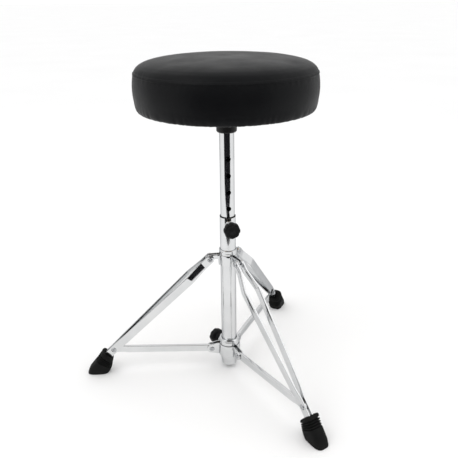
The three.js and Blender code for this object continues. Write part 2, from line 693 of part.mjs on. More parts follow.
// The boot's sections run from the rim, square to the leg, to the sole, flat on the floor.
const BOOT_RIM = { inner: [227.5, 28.7], outer: [246.7, 47.5], half: 15.4 };
const BOOT_NECK = { inner: [231.5, 12.5], outer: [259.5, 29.5], half: 14.6 };
const BOOT_KNEE = { inner: [234.5, 6.5], outer: [274.4, 11], half: 14.5 };
const BOOT_SOLE = { inner: [237.8, 0], outer: [279.6, 0], half: 13.8 };
const BOOT_GROOVE = 2.4;

function blend(a, b, t) {
  const mix = (p, q) => [p[0] + (q[0] - p[0]) * t, p[1] + (q[1] - p[1]) * t];
  return { inner: mix(a.inner, b.inner), outer: mix(a.outer, b.outer), half: a.half + (b.half - a.half) * t };
}

// One section: a rounded rectangle between its inner and outer points, drawn in by the inset.
function bootSection({ inner, outer, half }, inset) {
  const points = [];
  const count = 18;
  const power = 2 / 3.4;
  const span = [outer[0] - inner[0], outer[1] - inner[1]];
  const length = Math.hypot(span[0], span[1]);
  const centre = [(inner[0] + outer[0]) / 2, (inner[1] + outer[1]) / 2];
  for (let i = 0; i < count; i += 1) {
    const angle = -2 * Math.PI * i / count;
    const along = Math.sign(Math.cos(angle)) * Math.abs(Math.cos(angle)) ** power * (length / 2 - inset);
    const across = Math.sign(Math.sin(angle)) * Math.abs(Math.sin(angle)) ** power * (half - inset);
    points.push(new THREE.Vector3(
      centre[0] + along * span[0] / length, across, centre[1] + along * span[1] / length,
    ));
  }
  return points;
}

function footBoot() {
  const rings = [
    bootSection(BOOT_RIM, 2.2),
    bootSection(blend(BOOT_RIM, BOOT_NECK, 0.08), 0),
    bootSection(blend(BOOT_RIM, BOOT_NECK, 0.40), 0.2),
    bootSection(blend(BOOT_RIM, BOOT_NECK, 0.45), BOOT_GROOVE),
  ];
  for (const fin of [0.58, 0.80]) {
    rings.push(bootSection(blend(BOOT_RIM, BOOT_NECK, fin - 0.05), BOOT_GROOVE));
    rings.push(bootSection(blend(BOOT_RIM, BOOT_NECK, fin + 0.02), 0));
    rings.push(bootSection(blend(BOOT_RIM, BOOT_NECK, fin + 0.09), BOOT_GROOVE));
  }
  rings.push(bootSection(blend(BOOT_RIM, BOOT_NECK, 0.96), BOOT_GROOVE));
  rings.push(bootSection(BOOT_NECK, 0));
  rings.push(bootSection(BOOT_KNEE, 0));
  rings.push(bootSection(blend(BOOT_KNEE, BOOT_SOLE, 0.85), 0));
  rings.push(bootSection(BOOT_SOLE, 1.4));
  const boot = loft(rings);
  const pocketStart = LEG_LENGTH;
  const pocketEnd = LEG_LENGTH + BAR_TAIL + GAP;
  const pocketAcross = 2 * (FOOT_OFFSET + BAR_THICKNESS / 2 + GAP);
  const pocket = new THREE.BoxGeometry(pocketEnd - pocketStart, pocketAcross, BAR_WIDTH + 2 * GAP)
    .translate((pocketStart + pocketEnd) / 2, 0, 0);
  return cut(boot, alongLeg(pocket));
}

// ---------------------------------------------------------------- assembly

add(model, 'lower_tube', lowerTube(), chrome());
add(model, 'tube_bush', tubeBush(), blackPlastic());
add(model, 'post_end_plug', postEndPlug(), blackPlastic());
add(model, 'tube_stop_ring', tubeStopRing(), chrome());
add(model, 'upper_collar', upperCollar(), chrome());
add(model, 'seat_post', seatPost(), chrome());
add(model, 'post_foot_plug', postFootPlug(), blackPlastic());
add(model, 'seat_hub', seatHub(), blackPaint());
add(model, 'seat_board', seatBoard(), plywood());
add(model, 'seat_cushion', seatCushion(), blackVinyl());
screwCentres().forEach(([x, y], index) => {
  add(model, `hub_screw_${index + 1}`, hubScrew(x, y), zincSteel());
});

const lock = turnedGroup(LOCK_AZIMUTH, LOCK_HEIGHT);
add(lock, 'lock_boss', lockBoss(), chrome());
add(lock, 'height_stud', stud(POST_RADIUS + GAP + 0.1, LOCK_BOSS_END, LOCK_STEM_LENGTH), zincSteel());
add(lock, 'height_knob', starKnob(LOCK_BOSS_END, LOCK_STEM_LENGTH), blackPlastic());

add(model, 'lower_collar', lowerCollar(), chrome());
const clamp = turnedGroup(CLAMP_AZIMUTH, CLAMP_HEIGHT);
add(clamp, 'clamp_stud', stud(TUBE_RADIUS + GAP + 0.1, CLAMP_BOSS_END, CLAMP_STEM_LENGTH), zincSteel());
add(clamp, 'clamp_knob', starKnob(CLAMP_BOSS_END, CLAMP_STEM_LENGTH), blackPlastic());

LEG_AZIMUTHS.forEach((azimuth, index) => {
  const number = index + 1;
  const plateAzimuth = azimuth + HALF_SPACING;
  const between = turnedGroup(plateAzimuth);
  add(between, `upper_bracket_${number}`, upperBracket(), chrome());
  const notches = number === CLAMP_BRACKET ? [bossNotch(plateAzimuth)] : [];
  add(between, `lower_bracket_${number}`, lowerBracket(...notches), chrome());

  const leg = turnedGroup(azimuth);
  add(leg, `upper_pivot_pin_${number}`, upperPivotPin(), zincSteel());
  add(leg, `leg_bar_${number}a`, legBar(1), chrome());
  add(leg, `leg_bar_${number}b`, legBar(-1), chrome());
  add(leg, `upper_rivet_head_${number}a`, upperRivetHead(1), zincSteel());
  add(leg, `upper_rivet_head_${number}b`, upperRivetHead(-1), zincSteel());
  add(leg, `foot_rivet_${number}`, footRivet(), zincSteel());
  add(leg, `foot_boot_${number}`, footBoot(), blackRubber());
  add(leg, `brace_${number}`, brace(), chrome());
  add(leg, `brace_pin_${number}`, bracePin(), zincSteel());
});

export default model;
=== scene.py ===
"""Looks of the drum throne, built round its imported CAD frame. Metres, +Z up, the CAD's own frame."""

import functools
import json
import math
import random

import bmesh
import bpy
from mathutils import Matrix, Vector, noise
from mathutils.bvhtree import BVHTree


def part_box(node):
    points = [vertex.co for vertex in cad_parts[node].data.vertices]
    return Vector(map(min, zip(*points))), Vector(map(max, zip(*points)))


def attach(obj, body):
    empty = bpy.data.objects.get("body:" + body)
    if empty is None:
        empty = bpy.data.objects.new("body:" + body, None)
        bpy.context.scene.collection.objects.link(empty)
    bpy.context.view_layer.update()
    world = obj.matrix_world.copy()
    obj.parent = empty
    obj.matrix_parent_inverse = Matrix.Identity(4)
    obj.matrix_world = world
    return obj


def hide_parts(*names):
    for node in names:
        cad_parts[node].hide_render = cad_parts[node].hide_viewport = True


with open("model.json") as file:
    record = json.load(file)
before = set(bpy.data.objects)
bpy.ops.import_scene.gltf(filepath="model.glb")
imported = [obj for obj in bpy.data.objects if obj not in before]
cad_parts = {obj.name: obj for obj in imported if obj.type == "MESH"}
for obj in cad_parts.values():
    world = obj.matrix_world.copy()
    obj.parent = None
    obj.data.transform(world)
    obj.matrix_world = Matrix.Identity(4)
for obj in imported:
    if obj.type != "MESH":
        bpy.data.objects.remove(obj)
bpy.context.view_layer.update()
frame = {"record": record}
RECORD = frame["record"]
BODY_OF = {node: body for body, nodes in RECORD["behaviour"]["bodies"].items() for node in nodes}
SLOT_OF = {part["node"]: part["material_slot"] for part in RECORD["subparts"]}

MM = 0.001
FIT = 0.2 * MM                 # gap between two pieces that fit together
SEED = 11
TURN = 2 * math.pi
FINE = 96                      # facets round a tube
SMALL = 32                     # facets round a rivet or a stud
WALL = 1.2 * MM                # wall of both tubes
EDGE = 0.45 * MM               # rounding of pressed and turned edges
LEG_NUMBERS = (1, 2, 3)


# ---------------------------------------------------------------- places, read from the frame

@functools.cache
def box_of(node):
    return tuple(Vector(corner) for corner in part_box(node))


def middle(node):
    low, high = box_of(node)
    return (low + high) / 2


def low_of(node):
    return box_of(node)[0].z


def high_of(node):
    return box_of(node)[1].z


def ends_of(node):
    """The lowest and highest Z."""
    return low_of(node), high_of(node)


def outer_radius(node):
    low, high = box_of(node)
    return (high.x - low.x) / 2


def radius_and_height(point):
    return math.hypot(point[0], point[1]), point[2]


def azimuth_of(point):
    return math.atan2(point[1], point[0])


LEG_AZIMUTH = {k: azimuth_of(middle(f"foot_rivet_{k}")) for k in LEG_NUMBERS}
PIVOT = radius_and_height(middle("upper_pivot_pin_1"))
RIVET = radius_and_height(middle("foot_rivet_1"))
BRACE_PIVOT = radius_and_height(middle("brace_pin_1"))
LEG_SLOPE = math.atan2(PIVOT[1] - RIVET[1], RIVET[0] - PIVOT[0])
LEG_LENGTH = math.hypot(PIVOT[1] - RIVET[1], RIVET[0] - PIVOT[0])
BRACE_SLOPE = -math.atan2(RIVET[1] - BRACE_PIVOT[1], RIVET[0] - BRACE_PIVOT[0])
BRACE_LENGTH = math.hypot(RIVET[1] - BRACE_PIVOT[1], RIVET[0] - BRACE_PIVOT[0])
TUBE_RADIUS = outer_radius("lower_tube")
POST_RADIUS = outer_radius("seat_post")
LOCK_AZIMUTH = azimuth_of(middle("height_knob"))
LOCK_HEIGHT = middle("height_stud")[2]
CLAMP_AZIMUTH = azimuth_of(middle("clamp_knob"))
CLAMP_HEIGHT = middle("clamp_stud")[2]


def about_column(azimuth, height=0.0):
    return Matrix.Rotation(azimuth, 4, "Z") @ Matrix.Translation((0, 0, height))


def along_leg(number):
    """From the leg's own axes (x along it, y across, z square to its face) to the frame."""
    tilt = Matrix.Translation((PIVOT[0], 0, PIVOT[1])) @ Matrix.Rotation(LEG_SLOPE, 4, "Y")
    return about_column(LEG_AZIMUTH[number]) @ tilt


def along_brace(number):
    tilt = Matrix.Translation((BRACE_PIVOT[0], 0, BRACE_PIVOT[1])) @ Matrix.Rotation(BRACE_SLOPE, 4, "Y")
    return about_column(LEG_AZIMUTH[number]) @ tilt


# ---------------------------------------------------------------- materials

def new_material(name):
    material = bpy.data.materials.new(name)
    material.use_nodes = True
    return material, material.node_tree.nodes, material.node_tree.links


def set_inputs(node, values):
    for name, value in values.items():
        node.inputs[name].default_value = value
    return node


def noise_node(nodes, links, scale, detail=3.0, rough=0.5):
    place = nodes.new("ShaderNodeTexCoord")
    grain = set_inputs(nodes.new("ShaderNodeTexNoise"), {
        "Scale": scale, "Detail": detail, "Roughness": rough})
    links.new(place.outputs["Object"], grain.inputs["Vector"])
    return grain


def ramp_node(nodes, links, source, stops):
    ramp = nodes.new("ShaderNodeValToRGB")
    points = ramp.color_ramp.elements
    while len(points) < len(stops):
        points.new(0.5)
    for point, (position, colour) in zip(points, stops):
        point.position = position
        point.color = (*colour, 1.0)
    links.new(source, ramp.inputs["Fac"])
    return ramp


def range_node(nodes, links, source, low, high, start=0.3, end=0.7):
    spread = set_inputs(nodes.new("ShaderNodeMapRange"), {
        "From Min": start, "From Max": end, "To Min": low, "To Max": high})
    links.new(source, spread.inputs["Value"])
    return spread


def bump_node(nodes, links, source, distance, strength=1.0, below=None):
    bump = set_inputs(nodes.new("ShaderNodeBump"), {"Distance": distance, "Strength": strength})
    links.new(source, bump.inputs["Height"])
    if below:
        links.new(below.outputs["Normal"], bump.inputs["Normal"])
    return bump


def surface(name, dark, light, patch_scale, rough, rough_scale, grain_scale, grain_depth,
            metallic=0.0, specular=0.5, coat=0.0, wave_depth=0.0, edge_tint=None):
    """A finish with patches of tone, uneven gloss, a fine grain and, where asked, long soft waves."""
    material, nodes, links = new_material(name)
    shader = nodes["Principled BSDF"]
    set_inputs(shader, {"Metallic": metallic, "Specular IOR Level": specular, "Coat Weight": coat})
    if edge_tint:
        set_inputs(shader, {"Specular Tint": (*edge_tint, 1.0)})
    patches = noise_node(nodes, links, patch_scale, 5.0)
    tone = ramp_node(nodes, links, patches.outputs["Fac"], [(0.3, dark), (0.7, light)])
    links.new(tone.outputs["Color"], shader.inputs["Base Color"])
    smears = noise_node(nodes, links, rough_scale, 6.0, 0.6)
    gloss = range_node(nodes, links, smears.outputs["Fac"], *rough)
    links.new(gloss.outputs["Result"], shader.inputs["Roughness"])
    fine = noise_node(nodes, links, grain_scale, 2.0)
    grain = bump_node(nodes, links, fine.outputs["Fac"], grain_depth)
    if wave_depth:
        waves = noise_node(nodes, links, 14.0, 1.0)
        grain = bump_node(nodes, links, waves.outputs["Fac"], wave_depth, 1.0, grain)
    links.new(grain.outputs["Normal"], shader.inputs["Normal"])
    return material


def vinyl():
    """Black upholstery vinyl: pebbled grain of about a millimetre, finer creases and a soft sheen."""
    material, nodes, links = new_material("black_vinyl")
    shader = nodes["Principled BSDF"]
    set_inputs(shader, {"Specular IOR Level": 0.105, "Sheen Weight": 0.02, "Sheen Roughness": 0.4})
    patches = noise_node(nodes, links, 9.0, 4.0)
    tone = ramp_node(nodes, links, patches.outputs["Fac"],
                     [(0.3, (0.0028, 0.0031, 0.0038)), (0.7, (0.0045, 0.0047, 0.0053))])
    links.new(tone.outputs["Color"], shader.inputs["Base Color"])
    smears = noise_node(nodes, links, 22.0, 5.0)
    gloss = range_node(nodes, links, smears.outputs["Fac"], 0.36, 0.47)
    links.new(gloss.outputs["Result"], shader.inputs["Roughness"])
    place = nodes.new("ShaderNodeTexCoord")
    pebble = set_inputs(nodes.new("ShaderNodeTexVoronoi"), {"Scale": 850.0})
    pebble.feature = "DISTANCE_TO_EDGE"
    links.new(place.outputs["Object"], pebble.inputs["Vector"])
    dome = range_node(nodes, links, pebble.outputs["Distance"], 0.0, 1.0, 0.0, 0.35)
    grain = bump_node(nodes, links, dome.outputs["Result"], 0.05 * MM, 0.7)
    creases = noise_node(nodes, links, 120.0, 4.0)
    soft = bump_node(nodes, links, creases.outputs["Fac"], 0.25 * MM, 0.6, grain)
    links.new(soft.outputs["Normal"], shader.inputs["Normal"])
    return material


def plywood():
    """Birch ply: long streaked figure on the faces and thin dark plies round the edge."""
    material, nodes, links = new_material("plywood")
    shader = nodes["Principled BSDF"]
    set_inputs(shader, {"Specular IOR Level": 0.3})
    place = nodes.new("ShaderNodeTexCoord")
    stretch = set_inputs(nodes.new("ShaderNodeMapping"), {"Scale": (3.0, 42.0, 420.0)})
    links.new(place.outputs["Object"], stretch.inputs["Vector"])
    figure = set_inputs(nodes.new("ShaderNodeTexNoise"), {"Scale": 1.6, "Detail": 6.0})
    links.new(stretch.outputs["Vector"], figure.inputs["Vector"])
    tone = ramp_node(nodes, links, figure.outputs["Fac"],
                     [(0.25, (0.25, 0.14, 0.065)), (0.5, (0.47, 0.31, 0.17)), (0.75, (0.58, 0.42, 0.25))])
    links.new(tone.outputs["Color"], shader.inputs["Base Color"])
    gloss = range_node(nodes, links, figure.outputs["Fac"], 0.55, 0.8)
    links.new(gloss.outputs["Result"], shader.inputs["Roughness"])
    grain = bump_node(nodes, links, figure.outputs["Fac"], 0.12 * MM)
    links.new(grain.outputs["Normal"], shader.inputs["Normal"])
    return material


MATERIALS = {
    "chrome": surface("chrome", (0.66, 0.67, 0.675), (0.73, 0.735, 0.74), 30.0, (0.04, 0.11), 55.0,
                      900.0, 0.004 * MM, metallic=1.0, wave_depth=0.05 * MM, edge_tint=(0.42, 0.43, 0.44)),
    "zinc_steel": surface("zinc_steel", (0.42, 0.43, 0.45), (0.56, 0.57, 0.58), 160.0, (0.16, 0.34), 210.0,
                          1500.0, 0.02 * MM, metallic=1.0, edge_tint=(0.4, 0.4, 0.4)),
    "black_plastic": surface("black_plastic", (0.0035, 0.0037, 0.004), (0.0065, 0.0067, 0.007), 90.0,
                             (0.42, 0.56), 160.0, 1700.0, 0.06 * MM, specular=0.16),
    "black_paint": surface("black_paint", (0.0035, 0.0037, 0.0038), (0.006, 0.0062, 0.0064), 60.0,
                           (0.34, 0.5), 120.0, 1100.0, 0.08 * MM, specular=0.2, coat=0.02),
    "black_rubber": surface("black_rubber", (0.004, 0.0042, 0.0041), (0.008, 0.0082, 0.0079), 70.0,
                            (0.62, 0.82), 140.0, 1300.0, 0.10 * MM, specular=0.14),
    "black_vinyl": vinyl(),
    "plywood": plywood(),
}
# Painted shade: a near-black colour for the inside of the post and the walls of its holes, where little light
# reaches.
PAINTED_SHADE_BORE = surface("painted_shade_bore", (0.010, 0.010, 0.010), (0.022, 0.021, 0.020), 120.0, (0.6, 0.8), 150.0,
                    900.0, 0.05 * MM, specular=0.2)


# ---------------------------------------------------------------- mesh helpers

def mesh_object(name, points, faces):
    mesh = bpy.data.meshes.new(name)
    mesh.from_pydata([tuple(point) for point in points], [], faces)
    work = bmesh.new()
    work.from_mesh(mesh)
    bmesh.ops.recalc_face_normals(work, faces=work.faces)
    work.to_mesh(mesh)
    work.free()
    piece = bpy.data.objects.new(name, mesh)
    bpy.context.scene.collection.objects.link(piece)
    return piece


def smooth(piece, degrees=38):
    piece.data.shade_smooth()
    piece.data.set_sharp_from_angle(angle=math.radians(degrees))
    return piece


def stand_for(piece, *nodes):
    """The piece takes the place, the body and the material slot of these CAD nodes."""
    first = nodes[0]
    piece.data.materials.clear()
    piece.data.materials.append(MATERIALS[SLOT_OF[first]])
    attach(piece, BODY_OF[first])
    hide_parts(*nodes)
    return piece


def goes_with(piece, node, slot=None):
    """A small addition that moves with a CAD node."""
    piece.data.materials.clear()
    piece.data.materials.append(MATERIALS[slot or SLOT_OF[node]])
    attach(piece, BODY_OF[node])
    return piece


def softened(points, radius=EDGE, closed=True, steps=4):
    """The outline with each corner rounded."""
    count = len(points)
    result = []
    for i, (x, y) in enumerate(points):
        if not closed and i in (0, count - 1):
            result.append((x, y))
            continue
        corner = Vector((x, y))
        back = Vector(points[i - 1]) - corner
        ahead = Vector(points[(i + 1) % count]) - corner
        turn = math.pi - back.angle(ahead, 0.0)
        reach = min(radius * math.tan(min(turn, 3.0) / 2), back.length * 0.45, ahead.length * 0.45)
        start = corner + back.normalized() * reach
        end = corner + ahead.normalized() * reach
        for j in range(steps + 1):
            t = j / steps
            point = start * (1 - t) ** 2 + corner * 2 * t * (1 - t) + end * t * t
            result.append((point.x, point.y))
    return result


def lathe(name, profile, segments=FINE, closed=False, radius=EDGE, spread=None, smooth_by=38):
    """Turns a profile of (radius, height) about Z. An open profile starts and ends on the axis."""
    outline = softened(profile, radius, closed)
    points = []
    rows = []
    for r, z in outline:
        if r < 1e-7:
            rows.append([len(points)])
            points.append((0, 0, z))
            continue
        rows.append(list(range(len(points), len(points) + segments)))
        for i in range(segments):
            angle = TURN * i / segments
            points.append((r * math.cos(angle), r * math.sin(angle), z))
    faces = []
    last = len(rows) if closed else len(rows) - 1
    for k in range(last):
        first, second = rows[k], rows[(k + 1) % len(rows)]
        for i in range(segments):
            j = (i + 1) % segments
            if len(first) == 1 and len(second) == 1:
                continue
            if len(first) == 1:
                faces.append((first[0], second[i], second[j]))
            elif len(second) == 1:
                faces.append((first[i], first[j], second[0]))
            else:
                faces.append((first[i], first[j], second[j], second[i]))
    if spread:
        points = [spread @ Vector(point) for point in points]
    return smooth(mesh_object(name, points, faces), smooth_by)


def tube_faces(rings, count, base=0):
    """Faces of a skin over rings of count points each, capped at both ends. The points start at base."""
    faces = []
    for k in range(rings - 1):
        low = base + k * count
        high = low + count
        for i in range(count):
            j = (i + 1) % count
            faces.append((low + i, low + j, high + j, high + i))
    last = base + (rings - 1) * count
    return faces + [tuple(range(base, base + count)), tuple(range(last, last + count))]


def loft(name, rings, spread=None, smooth_by=38):
    """A closed skin through rings of points, capped at both ends."""
    points = [Vector(point) for ring in rings for point in ring]
    faces = tube_faces(len(rings), len(rings[0]))
    if spread:
        points = [spread @ point for point in points]
    return smooth(mesh_object(name, points, faces), smooth_by)


def apply_modifiers(piece):
    evaluated = piece.evaluated_get(bpy.context.evaluated_depsgraph_get())
    mesh = bpy.data.meshes.new_from_object(evaluated)
    piece.modifiers.clear()
    piece.data = mesh
    return mesh


def cut_out(piece, tool):
    modifier = piece.modifiers.new("cut", "BOOLEAN")
    modifier.operation = "DIFFERENCE"
    modifier.object = tool
    modifier.solver = "EXACT"
    apply_modifiers(piece)
    bpy.data.objects.remove(tool)


def round_normals(piece, tilt=0.12):
    """Faces that lie on a cylinder about Z are shaded as the cylinder, and the others as flat."""
    mesh = piece.data
    mesh.shade_smooth()
    normals = []
    for face in mesh.polygons:
        for index in face.vertices:
            outward = Vector((mesh.vertices[index].co.x, mesh.vertices[index].co.y, 0)).normalized()
            side = face.normal.dot(outward)
            on_cylinder = abs(side) > 0.97 and abs(face.normal.z) < tilt
            normals.append(outward * math.copysign(1, side) if on_cylinder else face.normal)
    mesh.normals_split_custom_set(normals)
    return piece


def turned(node, profile, segments=FINE, **how):
    """A lathed piece that takes the place of a CAD node."""
    return stand_for(lathe(f"{node}_fine", profile, segments, **how), node)


def spoke(azimuth, height):
    """Axes whose Z runs out from the column's axis, for what is turned about a stud."""
    return about_column(azimuth, height) @ Matrix.Rotation(math.pi / 2, 4, "Y")


def rod(name, radius, start, end, spread, segments):
    """A plain round bar along the spread's Z axis, used as a cutter."""
    return lathe(name, [(0, start), (radius, start), (radius, end), (0, end)], segments,
                 radius=0.0001 * MM, spread=spread)


def block(name, size, spread):
    """A plain cutter block."""
    a, b, c = (value / 2 for value in size)
    rings = [[(-a, -b, z), (a, -b, z), (a, b, z), (-a, b, z)] for z in (-c, c)]
    return loft(name, rings, spread)


def ribbon(name, path, spans, thickness, spread, edge=EDGE):
    """A bent flat bar. It follows the path in X-Y, and the spans give its low and high Z there."""
    rings = []
    for i, (x, y) in enumerate(path):
        before = Vector(path[max(i - 1, 0)])
        after = Vector(path[min(i + 1, len(path) - 1)])
        along = (after - before).normalized()
        side = Vector((-along.y, along.x))
        low, high = spans[i]
        half_height = max((high - low) / 2, 0.02 * MM)
        corner = min(edge, half_height * 0.9)
        centre = (low + high) / 2
        outline = softened([
            (-thickness / 2, -half_height), (thickness / 2, -half_height),
            (thickness / 2, half_height), (-thickness / 2, half_height),
        ], corner, steps=3)
        rings.append([(x + side.x * u, y + side.y * u, centre + v) for u, v in outline])
    return loft(name, rings, spread)


def bent_path(corners, radius, steps=8):
    return softened(corners, radius, closed=False, steps=steps)


# ---------------------------------------------------------------- column and post

HOLE_RADIUS = 4.4 * MM
HOLE_PITCH = 30 * MM
HOLES_BELOW = 1
HOLES_ABOVE = 4
NOTCH_SIZE = (2.4 * MM, 10.5 * MM, 4.4 * MM)
NOTCH_RISE = 5.5 * MM          # above the crimped ring's lower rim
NOTCH_AZIMUTH = -93.5
DIMPLE_RADIUS = 1.25 * MM
DIMPLE_RISE = 7.5 * MM
DIMPLE_AZIMUTH = -128
LOCK_BOSS_END = 22 * MM        # from the column's axis to each boss's outer face
CLAMP_BOSS_END = 25 * MM
BOSS_BORE = 4.2 * MM


def lower_tube():
    bottom, top = ends_of("lower_tube")
    inner = TUBE_RADIUS - WALL
    turned("lower_tube", [(inner, bottom), (TUBE_RADIUS, bottom), (TUBE_RADIUS, top), (inner, top)],
           closed=True, radius=0.35 * MM)


def tube_bush():
    bottom, top = ends_of("tube_bush")
    inner = POST_RADIUS + FIT
    outer = outer_radius("tube_bush")
    turned("tube_bush", [(inner, bottom), (outer, bottom), (outer, top), (inner, top)],
           closed=True, radius=0.5 * MM)


def end_plugs():
    """Domed plugs: one in the column's foot and one on the post's lower end, each with a moulded ring."""
    low, high = ends_of("post_end_plug")
    stem = TUBE_RADIUS - WALL - FIT
    turned("post_end_plug", [
        (0, low), (6 * MM, low), (7 * MM, low + 0.7 * MM), (9.5 * MM, low + 2 * MM), (stem, low + 5.3 * MM),
        (stem, high - 2 * MM), (stem - 2 * MM, high), (0, high),
    ])
    low, high = ends_of("post_foot_plug")
    rim = outer_radius("post_foot_plug")
    stem = POST_RADIUS - WALL - FIT
    turned("post_foot_plug", [
        (0, low), (rim - MM, low), (rim, low + MM), (rim, low + 3 * MM), (stem, low + 3 * MM),
        (stem, high), (0, high),
    ])


def seat_post():
    bottom, top = ends_of("seat_post")
    inner = POST_RADIUS - WALL
    post = lathe("seat_post_fine", [(inner, bottom), (POST_RADIUS, bottom), (POST_RADIUS, top), (inner, top)],
                 closed=True, radius=0.2 * MM)
    for step in range(-HOLES_BELOW, HOLES_ABOVE + 1):
        hole_at = spoke(LOCK_AZIMUTH, LOCK_HEIGHT + step * HOLE_PITCH)
        cut_out(post, rod("hole", HOLE_RADIUS, POST_RADIUS - 4 * MM, POST_RADIUS + 4 * MM, hole_at, 40))
    round_normals(post)
    stand_for(post, "seat_post")
    # Every face inside the outer skin takes the painted shade: the bore, the hole walls and the end rims.
    post.data.materials.append(PAINTED_SHADE_BORE)
    for face in post.data.polygons:
        centre = face.center
        if math.hypot(centre.x, centre.y) < POST_RADIUS - 0.1 * MM:
            face.material_index = 1


def upper_collar():
    """The crimped ring over the leg brackets, with three notches and a row of pressed dimples."""
    bottom, top = ends_of("upper_collar")
    outer = outer_radius("upper_collar")
    inner = TUBE_RADIUS + FIT
    ring = lathe("upper_collar_fine", [
        (inner, bottom), (outer - 0.5 * MM, bottom), (outer - 0.15 * MM, bottom + 0.2 * MM),
        (outer, bottom + 0.6 * MM), (outer, top - 1.1 * MM), (outer - 0.25 * MM, top - 0.5 * MM),
        (outer - 0.9 * MM, top - 0.1 * MM), (inner, top),
    ], closed=True)
    for k in range(3):
        notch_at = about_column(math.radians(NOTCH_AZIMUTH + 120 * k), bottom + NOTCH_RISE)
        cut_out(ring, block("notch", NOTCH_SIZE, notch_at @ Matrix.Translation((outer, 0, 0))))
    for k in range(6):
        dimple_at = spoke(math.radians(DIMPLE_AZIMUTH + 60 * k), bottom + DIMPLE_RISE)
        cut_out(ring, rod("dimple", DIMPLE_RADIUS, outer - 0.7 * MM, outer + 2 * MM, dimple_at, 20))
    smooth(ring, 32)
    return stand_for(ring, "upper_collar")


def stop_ring():
    bottom, top = ends_of("tube_stop_ring")
    outer = outer_radius("tube_stop_ring")
    inner = TUBE_RADIUS + FIT
    turned("tube_stop_ring", [
        (inner, bottom), (inner + 0.6 * MM, bottom), (outer - 0.8 * MM, bottom + 4 * MM),
        (outer - 0.25 * MM, bottom + 5.5 * MM), (outer, bottom + 7.5 * MM),
        (outer, top - 0.5 * MM), (outer - 0.4 * MM, top), (inner, top),
    ], closed=True)


def lock_boss():
    radius = (high_of("lock_boss") - low_of("lock_boss")) / 2
    end = LOCK_BOSS_END
    start = TUBE_RADIUS - 0.3 * MM
    turned("lock_boss", [
        (BOSS_BORE, start), (radius + 1.0 * MM, start), (radius + 0.2 * MM, start + 1.2 * MM),
        (radius, start + 2 * MM), (radius, end - 0.6 * MM), (radius - 0.8 * MM, end), (BOSS_BORE, end),
    ], 64, closed=True, spread=spoke(LOCK_AZIMUTH, LOCK_HEIGHT))


# ---------------------------------------------------------------- brackets

PLATE = 2 * MM
UPPER_EAR_OFFSET = 3.6 * MM    # from the leg's middle plane to the ear's
LOWER_EAR_OFFSET = 4.3 * MM
UPPER_EAR_RADIUS = 8.2 * MM
LOWER_EAR_RADIUS = 9 * MM
UPPER_NECK_BOTTOM = 243 * MM   # underside of the arm that carries the upper ear
SLEEVE_RADIUS = 18.6 * MM
BOSS_NOTCH_RADIUS = 7.3 * MM
CLAMP_BRACKET = 3              # number of the lower plate behind the clamp knob's boss


def ear_span(r, pivot, radius, bottom, top, start, neck_bottom):
    """Low and high edge of a bracket's ear at the distance r from the column's axis."""
    if r <= start:
        return bottom, top
    half = math.sqrt(max(radius ** 2 - (r - pivot[0]) ** 2, 0))
    if r > pivot[0]:
        return pivot[1] - half, pivot[1] + half
    share = (r - start) / (pivot[0] - start)
    high = top + (pivot[1] + radius - top) * share
    if neck_bottom > bottom:
        return min(neck_bottom, pivot[1] - half), high
    return bottom + (pivot[1] - radius - bottom) * share, high


def bracket(node, azimuth, wrap_radius, ear_offset, pivot, ear_radius, neck_bottom, notch=None):
    """A plate round a third of the column, turned out into an ear beside each of two legs."""
    bottom, top = ends_of(node)
    half = math.pi / 3
    meet = math.asin(ear_offset / wrap_radius)
    reach = pivot[0] + ear_radius

    def ear_points(side):
        points = []
        for j in range(25):
            r = reach - (reach - wrap_radius - 2.2 * MM) * (1 - math.cos(j / 24 * math.pi / 2))
            out = Vector((math.cos(half), math.sin(half))) * r
            inwards = Vector((math.sin(half), -math.cos(half))) * ear_offset
            point = out + inwards
            points.append((point.x, side * point.y))
        return points

    def on_wall(angle):
        return math.cos(angle) * wrap_radius, math.sin(angle) * wrap_radius

    steps = 40
    wall = [on_wall((half - meet - math.radians(7)) * (2 * i / steps - 1)) for i in range(steps + 1)]
    start = ear_points(-1)
    end = list(reversed(ear_points(1)))
    path = start + bent_path([start[-1], on_wall(meet - half), wall[0]], 5 * MM)[1:-1]
    path += wall
    path += bent_path([wall[-1], on_wall(half - meet), end[0]], 5 * MM)[1:-1] + end
    spans = []
    for x, y in path:
        side_angle = math.copysign(half, y)
        r = x * math.cos(side_angle) + y * math.sin(side_angle)
        low, high = ear_span(r, pivot, ear_radius, bottom, top, wrap_radius + 3 * MM, neck_bottom)
        if notch:
            turn, height, radius = notch
            across = math.hypot(x, y) * math.sin(math.atan2(y, x) - turn)
            if abs(across) < radius and abs(math.atan2(y, x) - turn) < 1:
                high = min(high, height - math.sqrt(radius ** 2 - across ** 2))
        spans.append((low, high))
    return stand_for(ribbon(f"{node}_fine", path, spans, PLATE, about_column(azimuth)), node)


def brackets():
    for k in LEG_NUMBERS:
        azimuth = LEG_AZIMUTH[k] + math.pi / 3
        bracket(f"upper_bracket_{k}", azimuth, TUBE_RADIUS + 1.4 * MM, UPPER_EAR_OFFSET, PIVOT,
                UPPER_EAR_RADIUS, UPPER_NECK_BOTTOM)
        notch = None
        if k == CLAMP_BRACKET:
            turn = (CLAMP_AZIMUTH - azimuth + math.pi) % TURN - math.pi
            notch = (turn, CLAMP_HEIGHT, BOSS_NOTCH_RADIUS)
        bracket(f"lower_bracket_{k}", azimuth, SLEEVE_RADIUS + 1.4 * MM, LOWER_EAR_OFFSET, BRACE_PIVOT,
                LOWER_EAR_RADIUS, low_of("lower_bracket_1"), notch)


# ---------------------------------------------------------------- rivets and pins

HEAD_RADIUS = 4.8 * MM
HEAD_HEIGHT = 1.8 * MM
PIN_RADIUS = 3 * MM
FOOT_RIVET_RADIUS = 2.5 * MM


